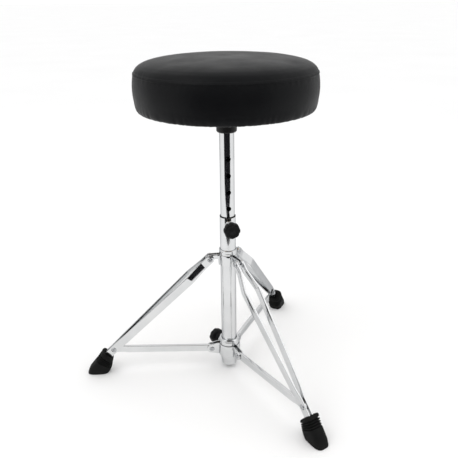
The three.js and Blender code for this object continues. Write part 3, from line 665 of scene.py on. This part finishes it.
def head_profile(grip, shank):
    """Half of a semi-tubular rivet: a rolled, dished head on its shank. Its seat is at the grip."""
    top = grip + HEAD_HEIGHT
    return [
        (0, grip + 0.5 * MM), (HEAD_RADIUS * 0.22, grip + 0.55 * MM), (HEAD_RADIUS * 0.34, top - 0.15 * MM),
        (HEAD_RADIUS * 0.52, top), (HEAD_RADIUS * 0.8, top - 0.45 * MM), (HEAD_RADIUS, grip + 0.45 * MM),
        (HEAD_RADIUS, grip), (shank, grip),
    ]


def across(spread, side=1):
    """From an axis along Z to the leg's cross direction."""
    return spread @ Matrix.Rotation(-side * math.pi / 2, 4, "X")


def rivets():
    for k in LEG_NUMBERS:
        leg = along_leg(k)
        outer_face = PIVOT_OFFSET + BAR_THICKNESS / 2
        for letter, side in (("a", 1), ("b", -1)):
            name = f"upper_rivet_head_{k}{letter}"
            profile = head_profile(outer_face, PIN_RADIUS)
            profile += [(PIN_RADIUS, outer_face - BAR_THICKNESS), (0, outer_face - BAR_THICKNESS)]
            turned(name, profile, SMALL, radius=0.3 * MM, spread=across(leg, side))
        at_foot = leg @ Matrix.Translation((LEG_LENGTH, 0, 0))
        through_rivet(f"foot_rivet_{k}", FOOT_OFFSET + BAR_THICKNESS / 2, FOOT_RIVET_RADIUS, at_foot)
        through_rivet(f"brace_pin_{k}", LOWER_EAR_OFFSET + PLATE / 2, PIN_RADIUS, along_brace(k))
        half = UPPER_EAR_OFFSET + PLATE / 2
        pin = [(0, -half), (PIN_RADIUS, -half), (PIN_RADIUS, half), (0, half)]
        turned(f"upper_pivot_pin_{k}", pin, SMALL, spread=across(leg))


def through_rivet(node, grip, shank, spread):
    """A rivet headed at both ends."""
    upper = head_profile(grip, shank)
    lower = [(r, -z) for r, z in reversed(upper)]
    turned(node, upper + lower, SMALL, radius=0.3 * MM, spread=across(spread))


# ---------------------------------------------------------------- sliding collar

def lower_collar():
    bottom, top = ends_of("lower_collar")
    inner = TUBE_RADIUS + FIT
    ring = SLEEVE_RADIUS + MM
    shoulder = 54.9 * MM
    turned("lower_collar", [
        (inner, bottom), (SLEEVE_RADIUS, bottom), (SLEEVE_RADIUS, shoulder), (ring, shoulder + 0.6 * MM),
        (ring, top - 4.6 * MM), (ring - 0.5 * MM, top - 3.9 * MM), (ring - 0.3 * MM, top - 2 * MM),
        (ring - 1.7 * MM, top), (inner + 0.8 * MM, top), (inner, top - 0.8 * MM),
    ], closed=True)
    radius = BOSS_NOTCH_RADIUS - 0.3 * MM
    start = 16.8 * MM
    boss = lathe("clamp_boss", [
        (BOSS_BORE, start), (radius, start), (radius, CLAMP_BOSS_END - 0.8 * MM),
        (radius - 0.8 * MM, CLAMP_BOSS_END), (BOSS_BORE, CLAMP_BOSS_END),
    ], 64, closed=True, spread=spoke(CLAMP_AZIMUTH, CLAMP_HEIGHT))
    goes_with(boss, "lower_collar")


# ---------------------------------------------------------------- knobs

KNOB_LOBES = 8
KNOB_LOBE_DEPTH = 1.2 * MM
KNOB_RADIUS = 14.6 * MM
KNOB_THICKNESS = 12 * MM
KNOB_GAP = 1.5 * MM

# Outline of a knob in millimetres: distance from the stem's end, the grip's back or its face, then the
# radius or the inset from the grip's radius, and how much of the lobes' depth shows there.
KNOB_STEM = [(3, 4.1), (0.3, 4.1), (0, 4.5), (0, 6.9), (0.4, 7.4), (1.6, 7.7)]
KNOB_SHOULDER = [(-1.2, 8.6, 0), (-0.3, 9.4, 0.1), (0, 10.6, 0.4)]
KNOB_BACK = [(0.15, 2.2, 0.8), (0.7, 0.9, 1), (1.8, 0.15, 1), (3.2, 0, 1)]
KNOB_FACE = [(3.4, 0, 1), (2, 0.25, 1), (0.9, 1.1, 1), (0.25, 2.3, 0.9), (0, 3.6, 0.6), (0.1, 4.6, 0.3),
             (1.1, 5.3, 0.1), (1.25, 6.2, 0)]
KNOB_DISH = [(1.25, 4.6), (0.9, 3.6), (0.55, 2), (0.45, 0.3)]


def star_knob(node, boss_end, stem_length, azimuth, height):
    """A moulded star knob: a plain round stem, a lobed grip with rounded rims and a dished face."""
    stem = boss_end + KNOB_GAP
    grip = stem + stem_length
    end = grip + KNOB_THICKNESS
    sections = [(stem + x * MM, r * MM, 0) for x, r in KNOB_STEM]
    sections += [(grip + x * MM, r * MM, lobed) for x, r, lobed in KNOB_SHOULDER]
    sections += [(grip + x * MM, KNOB_RADIUS - inset * MM, lobed) for x, inset, lobed in KNOB_BACK]
    sections += [(end - x * MM, KNOB_RADIUS - inset * MM, lobed) for x, inset, lobed in KNOB_FACE]
    sections += [(end - x * MM, r * MM, 0) for x, r in KNOB_DISH]
    count = KNOB_LOBES * 16
    rings = []
    for x, radius, lobed in sections:
        ring = []
        for i in range(count):
            angle = TURN * i / count
            valley = 1 - abs(math.cos(KNOB_LOBES * angle / 2)) ** 0.8
            r = radius - lobed * KNOB_LOBE_DEPTH * valley
            ring.append((x, r * math.cos(angle), r * math.sin(angle)))
        rings.append(ring)
    return stand_for(loft(f"{node}_fine", rings, about_column(azimuth, height), 50), node)


def stud(node, start, end, azimuth, height):
    """A threaded stud with a plain nose. Its thread is drawn as close rings."""
    radius = 3.9 * MM
    pitch = 1.25 * MM
    profile = [(0, start), (radius - 1.2 * MM, start), (radius - 0.5 * MM, start + 1.2 * MM)]
    z = start + 2.4 * MM
    while z < end - 2 * pitch:
        profile += [(radius - 0.5 * MM, z), (radius, z + pitch * 0.5)]
        z += pitch
    profile += [(radius - 0.5 * MM, z), (radius - 0.5 * MM, end), (0, end)]
    turned(node, profile, SMALL, radius=0.1 * MM, spread=spoke(azimuth, height))


def knobs():
    star_knob("height_knob", LOCK_BOSS_END, 10 * MM, LOCK_AZIMUTH, LOCK_HEIGHT)
    star_knob("clamp_knob", CLAMP_BOSS_END, 6 * MM, CLAMP_AZIMUTH, CLAMP_HEIGHT)
    stud("height_stud", POST_RADIUS + 0.4 * MM, LOCK_BOSS_END + 6 * MM, LOCK_AZIMUTH, LOCK_HEIGHT)
    stud("clamp_stud", TUBE_RADIUS + 0.4 * MM, CLAMP_BOSS_END + 4 * MM, CLAMP_AZIMUTH, CLAMP_HEIGHT)


# ---------------------------------------------------------------- legs and braces

BAR_THICKNESS = 2.8 * MM
BAR_WIDTH = 15 * MM
BAR_TAIL = 32 * MM
PIVOT_OFFSET = 6.3 * MM
SPREAD_START, SPREAD_END, SPREAD_OFFSET = 17 * MM, 53 * MM, 14.6 * MM
PINCH_START, PINCH_START_OFFSET, PINCH_END = 236 * MM, 5.7 * MM, 254 * MM
FOOT_OFFSET = 3.2 * MM
BEND_RADIUS = 9 * MM


def leg_bar(number, letter, side):
    half = BAR_WIDTH / 2
    end = LEG_LENGTH + BAR_TAIL
    rounded_end = [(-half * math.cos(j / 12 * math.pi / 2), PIVOT_OFFSET) for j in range(12)]
    bends = bent_path([
        (0, PIVOT_OFFSET), (SPREAD_START, PIVOT_OFFSET), (SPREAD_END, SPREAD_OFFSET),
        (PINCH_START, PINCH_START_OFFSET), (PINCH_END, FOOT_OFFSET), (end, FOOT_OFFSET),
    ], BEND_RADIUS)
    path = rounded_end + bends
    spans = []
    for x, _ in path:
        w = math.sqrt(max(half ** 2 - x ** 2, 0)) if x < 0 else half
        spans.append((-w, w))
    path = [(x, side * y) for x, y in path]
    name = f"leg_bar_{number}{letter}"
    return stand_for(ribbon(f"{name}_fine", path, spans, BAR_THICKNESS, along_leg(number)), name)


BRACE_HEIGHT = 13.2 * MM
BRACE_WIDTH = 6 * MM
BRACE_WALL = 1.5 * MM
BRACE_TAB = 3 * MM
TAB_START = 19 * MM            # from the foot rivet inwards
TAPER = 8 * MM


def brace(number):
    """A pressed channel, open below, flattened where it goes between the leg's two bars."""
    radius = BRACE_HEIGHT / 2
    tab = BRACE_LENGTH - TAB_START
    stations = [-radius * math.cos(j / 12 * math.pi / 2) * 0.999 for j in range(12)]
    stations += [0.001 * MM, 30 * MM, 80 * MM, 130 * MM, tab - TAPER - 6 * MM]
    stations += [tab - TAPER + TAPER * j / 10 for j in range(11)]
    stations += [BRACE_LENGTH - 6 * MM, BRACE_LENGTH]
    stations += [BRACE_LENGTH + radius * math.sin(j / 12 * math.pi / 2) * 0.999 for j in range(1, 13)]
    rings = []
    for x in stations:
        over = max(-x, x - BRACE_LENGTH, 0)
        height = math.sqrt(max(radius ** 2 - over ** 2, 0))
        share = min(max((x - (tab - TAPER)) / TAPER, 0), 1)
        eased = share * share * (3 - 2 * share)
        half = (BRACE_WIDTH + (BRACE_TAB - BRACE_WIDTH) * eased) / 2
        hollow = max(half - BRACE_WALL, 0.03 * MM)
        roof = height - BRACE_WALL if share == 0 else -height + (2 * height - BRACE_WALL) * (1 - eased)
        roof = max(min(roof, height - 0.2 * MM), -height + 0.1 * MM)
        top = softened([(half, -height), (half, height), (-half, height), (-half, -height)],
                       min(1.1 * MM, height * 0.5), closed=False, steps=5)
        section = top + [(-hollow, -height), (-hollow, roof), (hollow, roof), (hollow, -height)]
        rings.append([(x, y, z) for y, z in section])
    piece = loft(f"brace_{number}_fine", rings, along_brace(number), 32)
    return stand_for(piece, f"brace_{number}")


# ---------------------------------------------------------------- rubber boots

# The boot's outline at four heights, in millimetres: inner and outer point in the leg's plane as
# distance from the column's axis and height, then half the width across.
BOOT_RIM = ((227.5, 28.7), (246.7, 47.5), 15.4)
BOOT_NECK = ((231.5, 12.5), (259.5, 29.5), 14.6)
BOOT_KNEE = ((234.5, 6.5), (274.4, 11.0), 14.5)
BOOT_SOLE = ((237.8, 0.0), (279.6, 0.0), 13.8)
BOOT_GROOVE = 2.9
BOOT_FINS = (0.44, 0.64, 0.84)     # share of the way from the rim to the neck
BOOT_POINTS = 72


def between(first, second, share):
    inner = tuple(a + (b - a) * share for a, b in zip(first[0], second[0]))
    outer = tuple(a + (b - a) * share for a, b in zip(first[1], second[1]))
    return inner, outer, first[2] + (second[2] - first[2]) * share


def rounded_rectangle(centre, direction, half_along, half_across, roundness):
    """A ring in the leg's plane and across it, given in millimetres and returned in metres."""
    points = []
    for i in range(BOOT_POINTS):
        angle = TURN * i / BOOT_POINTS
        c, s = math.cos(angle), math.sin(angle)
        u = math.copysign(abs(c) ** roundness, c) * half_along
        v = math.copysign(abs(s) ** roundness, s) * half_across
        place = centre + direction * u
        points.append((place.x * MM, v * MM, place.y * MM))
    return points


def boot_section(section, inset):
    """The boot's outline between an inner and an outer point of the leg's plane."""
    inner, outer, half = section
    span = Vector(outer) - Vector(inner)
    centre = (Vector(outer) + Vector(inner)) / 2
    return rounded_rectangle(centre, span.normalized(), span.length / 2 - inset, half - inset, 2 / 3.4)


def boot_mouth(depth, inset):
    """The opening round the two bars, square to the leg, at this depth below the rim."""
    out = Vector((math.cos(LEG_SLOPE), -math.sin(LEG_SLOPE)))
    square = Vector((math.sin(LEG_SLOPE), math.cos(LEG_SLOPE)))
    centre = (Vector(BOOT_RIM[0]) + Vector(BOOT_RIM[1])) / 2
    rivet = Vector((RIVET[0], RIVET[1])) / MM
    on_axis = rivet + out * (centre - rivet).dot(out) + out * depth
    half_across = (FOOT_OFFSET + BAR_THICKNESS / 2) / MM + inset
    return rounded_rectangle(on_axis, square, BAR_WIDTH / MM / 2 + inset, half_across, 0.35)


def boot(number):
    """A rubber boot: a rounded cap, three ribs, a neck, a knee and a flat sole."""
    cap = [(-0.012, 6.2), (-0.02, 3.8), (-0.01, 2.0), (0.02, 0.9), (0.07, 0.25), (0.13, 0.0),
           (0.23, 0.0), (0.27, 0.35), (0.3, 1.4), (0.325, BOOT_GROOVE)]
    rib = [(-0.055, BOOT_GROOVE), (-0.035, 1.2), (-0.01, 0.25), (0.02, 0.0),
           (0.045, 0.3), (0.07, 1.3), (0.09, BOOT_GROOVE)]
    neck = [(0.985, BOOT_GROOVE), (1.005, 1.3), (1.025, 0.35), (1.06, 0.0)]
    knee = [(j / 8, 0.0) for j in range(1, 9)]
    sole = [(0.3, 0.0), (0.7, 0.05), (0.86, 0.35), (0.96, 0.9), (1.0, 1.6)]
    collar = cap + [(fin + step, inset) for fin in BOOT_FINS for step, inset in rib] + neck
    rings = [boot_mouth(5.0, 0.15), boot_mouth(1.2, 0.15), boot_mouth(0.4, 0.6)]
    for first, second, rows in (
            (BOOT_RIM, BOOT_NECK, collar), (BOOT_NECK, BOOT_KNEE, knee), (BOOT_KNEE, BOOT_SOLE, sole)):
        rings += [boot_section(between(first, second, share), inset) for share, inset in rows]
    for inset in (4.0, 4.5):
        rings.append(boot_section(BOOT_SOLE, inset))
    lifted = [(x, y, z + 0.6 * MM) for x, y, z in boot_section(BOOT_SOLE, 5.0)]
    rings.append(lifted)
    piece = loft(f"foot_boot_{number}_fine", rings, about_column(LEG_AZIMUTH[number]), 40)
    return stand_for(piece, f"foot_boot_{number}")


# ---------------------------------------------------------------- seat

BOARD_RADIUS = outer_radius("seat_board")
SEAT_TOP = high_of("seat_cushion")
SEAT_BOTTOM = low_of("seat_cushion")
SEAT_RADIUS = outer_radius("seat_cushion")
SEAM_HEIGHT = SEAT_TOP - 26.5 * MM
SEAM_RADIUS = SEAT_RADIUS - 3.2 * MM
HEM = SEAT_BOTTOM - 2.8 * MM
SWELL_ALLOWANCE = 1.2 * MM     # room left for the simulation's swelling
MOST_SWELL = 2 * MM
SIMULATED_FRAMES = 20
EVEN_STEPS = 16
PLEATS = 64
PLEAT_DEPTH = 0.9 * MM
STAPLES = 44
STAPLE_WIRE = 0.45 * MM        # radius


def cushion_profile(shrink):
    """Half outline of the pad, from the board's recess round the side to the crown's middle."""
    top = SEAT_TOP - shrink
    belly = SEAT_RADIUS - shrink
    seam = SEAM_RADIUS - shrink
    recess = high_of("seat_board") + 0.4 * MM
    lip = BOARD_RADIUS + 0.7 * MM
    profile = [(0, recess), (lip, recess), (lip, SEAT_BOTTOM), (belly - 14.5 * MM, SEAT_BOTTOM)]
    corners = [
        ((belly - 11 * MM, HEM), (belly - 3.5 * MM, HEM), (belly - 2.2 * MM, SEAT_BOTTOM + 16 * MM)),
        ((belly - 2.2 * MM, SEAT_BOTTOM + 16 * MM), (belly + 1.6 * MM, SEAT_BOTTOM + 36 * MM),
         (seam, SEAM_HEIGHT)),
    ]
    for start, bend, end in corners:
        for j in range(9):
            t = j / 8
            profile.append(tuple(
                a * (1 - t) ** 2 + b * 2 * t * (1 - t) + c * t * t for a, b, c in zip(start, bend, end)))
    for j in range(1, 25):
        t = j / 24
        start, first, second, end = (seam, SEAM_HEIGHT), (seam - 3.2 * MM, top - 5.5 * MM), \
            (112 * MM, top), (0.0, top)
        profile.append(tuple(
            a * (1 - t) ** 3 + b * 3 * t * (1 - t) ** 2 + c * 3 * t * t * (1 - t) + d * t ** 3
            for a, b, c, d in zip(start, first, second, end)))
    return profile


def simulate(piece):
    """Swells the cover over its foam by cloth simulation. Its hem is held, and the seam partly."""
    voxels = piece.modifiers.new("even", "REMESH")
    voxels.mode = "VOXEL"
    voxels.voxel_size = 4.5 * MM
    remeshed = apply_modifiers(piece)
    rest = [vertex.co.copy() for vertex in remeshed.vertices]
    held = piece.vertex_groups.new(name="held")
    seam_band = 3.5 * MM
    for vertex in remeshed.vertices:
        r = math.hypot(vertex.co.x, vertex.co.y)
        beside_board = vertex.co.z < SEAT_BOTTOM + 16 * MM and r < BOARD_RADIUS + 6 * MM
        if vertex.co.z < SEAT_BOTTOM + 3 * MM or beside_board:
            held.add([vertex.index], 1.0, "REPLACE")
        elif abs(vertex.co.z - SEAM_HEIGHT) < seam_band and r > SEAM_RADIUS - 12 * MM:
            held.add([vertex.index], 0.6, "REPLACE")
    cloth = piece.modifiers.new("cloth", "CLOTH")
    settings = cloth.settings
    settings.quality = 5
    settings.mass = 0.4
    settings.tension_stiffness = 60
    settings.compression_stiffness = 60
    settings.shear_stiffness = 30
    settings.bending_stiffness = 12
    settings.use_pressure = True
    settings.uniform_pressure_force = 1.2
    settings.vertex_group_mass = "held"
    settings.effector_weights.gravity = 0.0
    cloth.collision_settings.use_collision = False
    cloth.collision_settings.use_self_collision = False
    cloth.point_cache.frame_start = 1
    cloth.point_cache.frame_end = SIMULATED_FRAMES
    scene = bpy.context.scene
    for number in range(1, SIMULATED_FRAMES + 1):
        scene.frame_set(number)
    result = apply_modifiers(piece)
    scene.frame_set(1)
    piece.vertex_groups.clear()
    moves = []
    for vertex, start in zip(result.vertices, rest):
        move = vertex.co - start
        moves.append(move * (MOST_SWELL / max(move.length, MOST_SWELL)))
    for vertex, start, move in zip(result.vertices, rest, evened(result, moves)):
        vertex.co = start + move


def evened(mesh, moves):
    """The moves, each averaged with its neighbours', so that the taut cover keeps only broad swells."""
    neighbours = [[] for vertex in mesh.vertices]
    for edge in mesh.edges:
        a, b = edge.vertices
        neighbours[a].append(b)
        neighbours[b].append(a)
    for step in range(EVEN_STEPS):
        moves = [
            move.lerp(sum((moves[i] for i in near), Vector()) / max(len(near), 1), 0.6)
            for move, near in zip(moves, neighbours)]
    return moves


def fill_out(piece):
    """Brings the swollen pad to the seat's own width and height."""
    width = max(math.hypot(vertex.co.x, vertex.co.y) for vertex in piece.data.vertices)
    height = max(vertex.co.z for vertex in piece.data.vertices) - SEAT_BOTTOM
    wider = (SEAT_RADIUS - 0.2 * MM) / width
    taller = (SEAT_TOP - 0.2 * MM - SEAT_BOTTOM) / height
    for vertex in piece.data.vertices:
        vertex.co.x *= wider
        vertex.co.y *= wider
        vertex.co.z = SEAT_BOTTOM + (vertex.co.z - SEAT_BOTTOM) * taller


def gather(piece):
    """Gathers the cover's hem in small uneven pleats and gives the crown faint puckers at the seam."""
    for vertex in piece.data.vertices:
        x, y, z = vertex.co
        r = math.hypot(x, y)
        angle = math.atan2(y, x)
        outward = Vector((x, y, 0)).normalized() if r > 0 else Vector((0, 0, 0))
        wander = 2.2 * noise.noise((3 * math.cos(angle), 3 * math.sin(angle), SEED))
        pleat = math.sin(angle * PLEATS + wander * 6)
        low = max(0.0, 1 - (z - SEAT_BOTTOM) / (13 * MM))
        if r > BOARD_RADIUS + 2 * MM and low > 0:
            depth = PLEAT_DEPTH * (0.6 + 0.8 * noise.noise((9 * math.cos(angle), 9 * math.sin(angle), 5)))
            vertex.co += outward * (pleat * depth * low * (1 - low * 0.5))
            vertex.co.z += abs(pleat) * depth * 0.5 * low
        near_seam = math.exp(-((z - SEAM_HEIGHT) / (6 * MM)) ** 2)
        if r > SEAM_RADIUS - 12 * MM:
            pucker = noise.noise((26 * math.cos(angle), 26 * math.sin(angle), z * 40))
            vertex.co += outward * (pucker * 0.35 * MM * near_seam)
        dent = noise.noise((x * 18, y * 18, z * 18 + 4))
        in_recess = r < BOARD_RADIUS + 2 * MM and z < high_of("seat_board") + 3 * MM
        if z > SEAT_BOTTOM + 14 * MM and not in_recess:
            vertex.co += outward * dent * 0.35 * MM
            vertex.co.z += dent * 0.3 * MM * (1 if r < SEAM_RADIUS - 10 * MM else 0)


def seam_radius_at(tree, angle, height):
    """Distance from the axis to the cover's surface at this azimuth and height."""
    direction = Vector((math.cos(angle), math.sin(angle), 0))
    start = direction * (SEAT_RADIUS + 30 * MM)
    start.z = height
    hit = tree.ray_cast(start, -direction)[0]
    return math.hypot(hit.x, hit.y) if hit else SEAM_RADIUS


def seam_strip(tree, name, height, section):
    """A thin strip of cover round the seat: its section is a list of (proud, up) points."""
    points = []
    faces = []
    size = len(section)
    count = 360
    for i in range(count):
        angle = TURN * i / count
        for proud, up in section:
            r = seam_radius_at(tree, angle, height if abs(up) < 0.4 * MM else height + up) + proud
            points.append((r * math.cos(angle), r * math.sin(angle), height + up))
    for i in range(count):
        j = (i + 1) % count
        for a in range(size):
            b = (a + 1) % size
            faces.append((i * size + a, i * size + b, j * size + b, j * size + a))
    return smooth(mesh_object(name, points, faces), 60)


def stitches(tree, height):
    """One row of thread, each stitch a small dashed hump, just above the folded edge."""
    count = 250
    points = []
    faces = []
    around = 8
    for i in range(count):
        for j in range(7):
            share = j / 6
            angle = TURN * (i + 0.12 + 0.76 * share) / count
            r = seam_radius_at(tree, angle, height)
            hump = math.sin(share * math.pi)
            centre_r = r - 0.25 * MM + 0.42 * MM * hump
            thick = 0.30 * MM * (0.35 + 0.65 * hump)
            for k in range(around):
                turn = TURN * k / around
                rr = centre_r + thick * math.cos(turn)
                points.append((rr * math.cos(angle), rr * math.sin(angle), height + thick * math.sin(turn)))
        faces += tube_faces(7, around, i * 7 * around)
    return smooth(mesh_object("seam_stitches", points, faces), 60)


def cushion():
    piece = lathe("seat_cover", cushion_profile(SWELL_ALLOWANCE), 192, radius=0.8 * MM,
                  smooth_by=60)
    simulate(piece)
    piece.modifiers.new("finer", "SUBSURF").levels = 1
    apply_modifiers(piece)
    fill_out(piece)
    gather(piece)
    smooth(piece, 70)
    tree = BVHTree.FromObject(piece, bpy.context.evaluated_depsgraph_get())
    fold = seam_strip(tree, "seam_fold", SEAM_HEIGHT, [
        (-0.8 * MM, -0.2 * MM), (0.35 * MM, -0.15 * MM), (0.75 * MM, 0.35 * MM), (0.8 * MM, 1.2 * MM),
        (0.6 * MM, 2.6 * MM), (0.3 * MM, 4.0 * MM), (-0.1 * MM, 5.6 * MM), (-0.9 * MM, 5.6 * MM),
        (-0.9 * MM, 2.6 * MM),
    ])
    thread = stitches(tree, SEAM_HEIGHT + 2.2 * MM)
    stand_for(piece, "seat_cushion")
    goes_with(fold, "seat_cushion")
    for vertex in thread.data.vertices:
        r = math.hypot(vertex.co.x, vertex.co.y)
        vertex.co.x *= 1 + 0.72 * MM / r
        vertex.co.y *= 1 + 0.72 * MM / r
    goes_with(thread, "seat_cushion")


def seat_board():
    low, high = ends_of("seat_board")
    turned("seat_board", [(0, low), (BOARD_RADIUS, low), (BOARD_RADIUS, high), (0, high)], 128,
           radius=1.2 * MM)
    goes_with(hem_staples(), "seat_board", "zinc_steel")


def hem_staples():
    """Wire staples round the hem under the seat, each a little askew."""
    points = []
    faces = []
    rng = random.Random(SEED)
    for i in range(STAPLES):
        angle = TURN * (i + rng.uniform(-0.2, 0.2)) / STAPLES
        tilt = rng.uniform(-0.25, 0.25)
        from_axis = SEAT_RADIUS - 16.5 * MM - rng.uniform(0, 1.5) * MM
        centre = Vector((math.cos(angle), math.sin(angle), 0)) * from_axis
        centre.z = SEAT_BOTTOM + 0.15 * MM
        along = Vector((-math.sin(angle + tilt), math.cos(angle + tilt), 0))
        side = Vector((along.y, -along.x, 0))
        faces += tube_faces(4, 8, len(points))
        for end, drop in ((-4.4 * MM, 0.9 * MM), (-4.0 * MM, 0.0), (4.0 * MM, 0.0), (4.4 * MM, 0.9 * MM)):
            for k in range(8):
                turn = TURN * k / 8
                rim = Vector((0, 0, STAPLE_WIRE * math.sin(turn) + drop))
                points.append(centre + along * end + side * STAPLE_WIRE * math.cos(turn) + rim)
    return smooth(mesh_object("hem_staples", points, faces), 60)


def seat_hub():
    bottom, top = ends_of("seat_hub")
    flange = outer_radius("seat_hub")
    outer = 17.5 * MM
    bore = POST_RADIUS + FIT
    underside = top - 3.2 * MM
    roof = high_of("seat_post") + 1.2 * MM
    turned("seat_hub", [
        (0, roof), (bore, roof), (bore, bottom + 0.8 * MM), (bore + 0.8 * MM, bottom),
        (outer - 1.6 * MM, bottom),
        (outer, bottom + 2.2 * MM), (outer, underside - 14 * MM), (outer + 1.2 * MM, underside - 8 * MM),
        (outer + 5 * MM, underside - 3 * MM), (outer + 11 * MM, underside), (flange, underside),
        (flange, top), (0, top),
    ], radius=0.8 * MM)
    for k in (1, 2, 3, 4):
        node = f"hub_screw_{k}"
        place = middle(node)
        seat = top - 3.5 * MM
        tip = high_of(node)
        screw = lathe(f"{node}_fine", [
            (0, seat - 2.4 * MM), (2.6 * MM, seat - 2.3 * MM), (4.0 * MM, seat - 1.2 * MM), (4.2 * MM, seat),
            (2.2 * MM, seat), (2.2 * MM, tip - 2 * MM), (0, tip),
        ], SMALL, spread=Matrix.Translation((place.x, place.y, 0)))
        for quarter in (0.3, 0.3 + math.pi / 2):
            slot_at = Matrix.Translation((place.x, place.y, seat - 2.4 * MM))
            slot_at = slot_at @ Matrix.Rotation(quarter, 4, "Z")
            cut_out(screw, block("slot", (4.4 * MM, 0.9 * MM, 2 * MM), slot_at))
        smooth(screw, 32)
        stand_for(screw, node)


# ---------------------------------------------------------------- studio

CAMERA_DISTANCE = 0.9492       # from the column's axis, measured level
CAMERA_HEIGHT = 0.6907
CAMERA_BEARING = math.radians(-3.48)
CAMERA_HEADING = math.radians(-3.609)
CAMERA_PITCH = math.radians(22.696)
CAMERA_ROLL = math.radians(-0.658)
LENS = 44.80
SENSOR = 36.0
FLOOR_HALF = 40
PAPER_GLOW = 1.06


def camera():
    data = bpy.data.cameras.new("camera")
    data.lens = LENS
    data.sensor_width = SENSOR
    data.clip_start = 0.01
    eye = bpy.data.objects.new("camera", data)
    bpy.context.scene.collection.objects.link(eye)
    place = Matrix.Rotation(CAMERA_BEARING, 4, "Z") @ Vector((0, -CAMERA_DISTANCE, CAMERA_HEIGHT))
    look = Matrix.Rotation(CAMERA_HEADING, 4, "Z") @ Matrix.Rotation(math.pi / 2 - CAMERA_PITCH, 4, "X") \
        @ Matrix.Rotation(CAMERA_ROLL, 4, "Z")
    eye.matrix_world = Matrix.Translation(place) @ look
    bpy.context.scene.camera = eye


def floor():
    half = FLOOR_HALF
    corners = [(-half, -half, 0), (half, -half, 0), (half, half, 0), (-half, half, 0)]
    sheet = mesh_object("floor", corners, [(0, 1, 2, 3)])
    sheet.data.materials.append(surface(
        "pale_floor", (0.93, 0.93, 0.93), (0.95, 0.95, 0.95), 1.5, (0.75, 0.85), 3.0,
        60.0, 0.02 * MM, specular=0.1))


def panel(name, azimuth, distance, width, low, high, tone):
    """An upright studio card, seen only in reflections."""
    half = width / 2
    corners = [(distance, -half, low), (distance, half, low), (distance, half, high), (distance, -half, high)]
    card = mesh_object(name, [about_column(azimuth) @ Vector(corner) for corner in corners], [(0, 1, 2, 3)])
    dark = surface(f"{name}_cloth", tone, tone, 4.0, (0.8, 0.9), 5.0, 50.0, 0.1 * MM, specular=0.05)
    card.data.materials.append(dark)
    card.visible_camera = False
    card.visible_diffuse = False
    card.visible_shadow = False


def area_light(name, place, target, size, power):
    data = bpy.data.lights.new(name, "AREA")
    data.shape = "RECTANGLE"
    data.size, data.size_y = size
    data.energy = power
    lamp = bpy.data.objects.new(name, data)
    bpy.context.scene.collection.objects.link(lamp)
    aim = (Vector(target) - Vector(place)).to_track_quat("-Z", "Y")
    lamp.matrix_world = Matrix.Translation(place) @ aim.to_matrix().to_4x4()


def sky():
    """White paper all round. It is brightest for the lens and overhead, and greyer in reflections."""
    world = bpy.data.worlds.new("studio")
    world.use_nodes = True
    nodes, links = world.node_tree.nodes, world.node_tree.links
    paper = nodes["Background"]
    paper.inputs["Color"].default_value = (1, 1, 1, 1)
    ray = nodes.new("ShaderNodeLightPath")
    place = nodes.new("ShaderNodeTexCoord")
    split = nodes.new("ShaderNodeSeparateXYZ")
    links.new(place.outputs["Generated"], split.inputs["Vector"])
    height = range_node(nodes, links, split.outputs["Z"], 0.72, 1.0, 0.0, 0.8)
    mirrored = nodes.new("ShaderNodeMix")
    links.new(ray.outputs["Is Glossy Ray"], mirrored.inputs["Factor"])
    mirrored.inputs["A"].default_value = PAPER_GLOW
    links.new(height.outputs["Result"], mirrored.inputs["B"])
    links.new(mirrored.outputs["Result"], paper.inputs["Strength"])
    bpy.context.scene.world = world


def studio():
    sky()
    bpy.context.scene.view_settings.view_transform = "Standard"
    area_light("key", (-1.3, -0.9, 1.9), (0, 0, 0.4), (1.2, 1.2), 6)
    area_light("fill", (1.8, -0.4, 1.5), (0, 0, 0.3), (1.5, 1.5), 3)
    panel("front_card", math.radians(-90), 0.80, 1.74, 0.0, 0.75, (0.012, 0.012, 0.014))
    panel("left_flag", math.radians(128), 1.5, 0.16, 0.0, 1.2, (0.05, 0.05, 0.055))
    panel("right_flag", math.radians(52), 1.5, 0.16, 0.0, 1.2, (0.05, 0.05, 0.055))


# ---------------------------------------------------------------- assembly

camera()
floor()
studio()
lower_tube()
tube_bush()
end_plugs()
seat_post()
upper_collar()
stop_ring()
lock_boss()
brackets()
lower_collar()
rivets()
knobs()
for leg_number in LEG_NUMBERS:
    leg_bar(leg_number, "a", 1)
    leg_bar(leg_number, "b", -1)
    brace(leg_number)
    boot(leg_number)
cushion()
seat_board()
seat_hub()
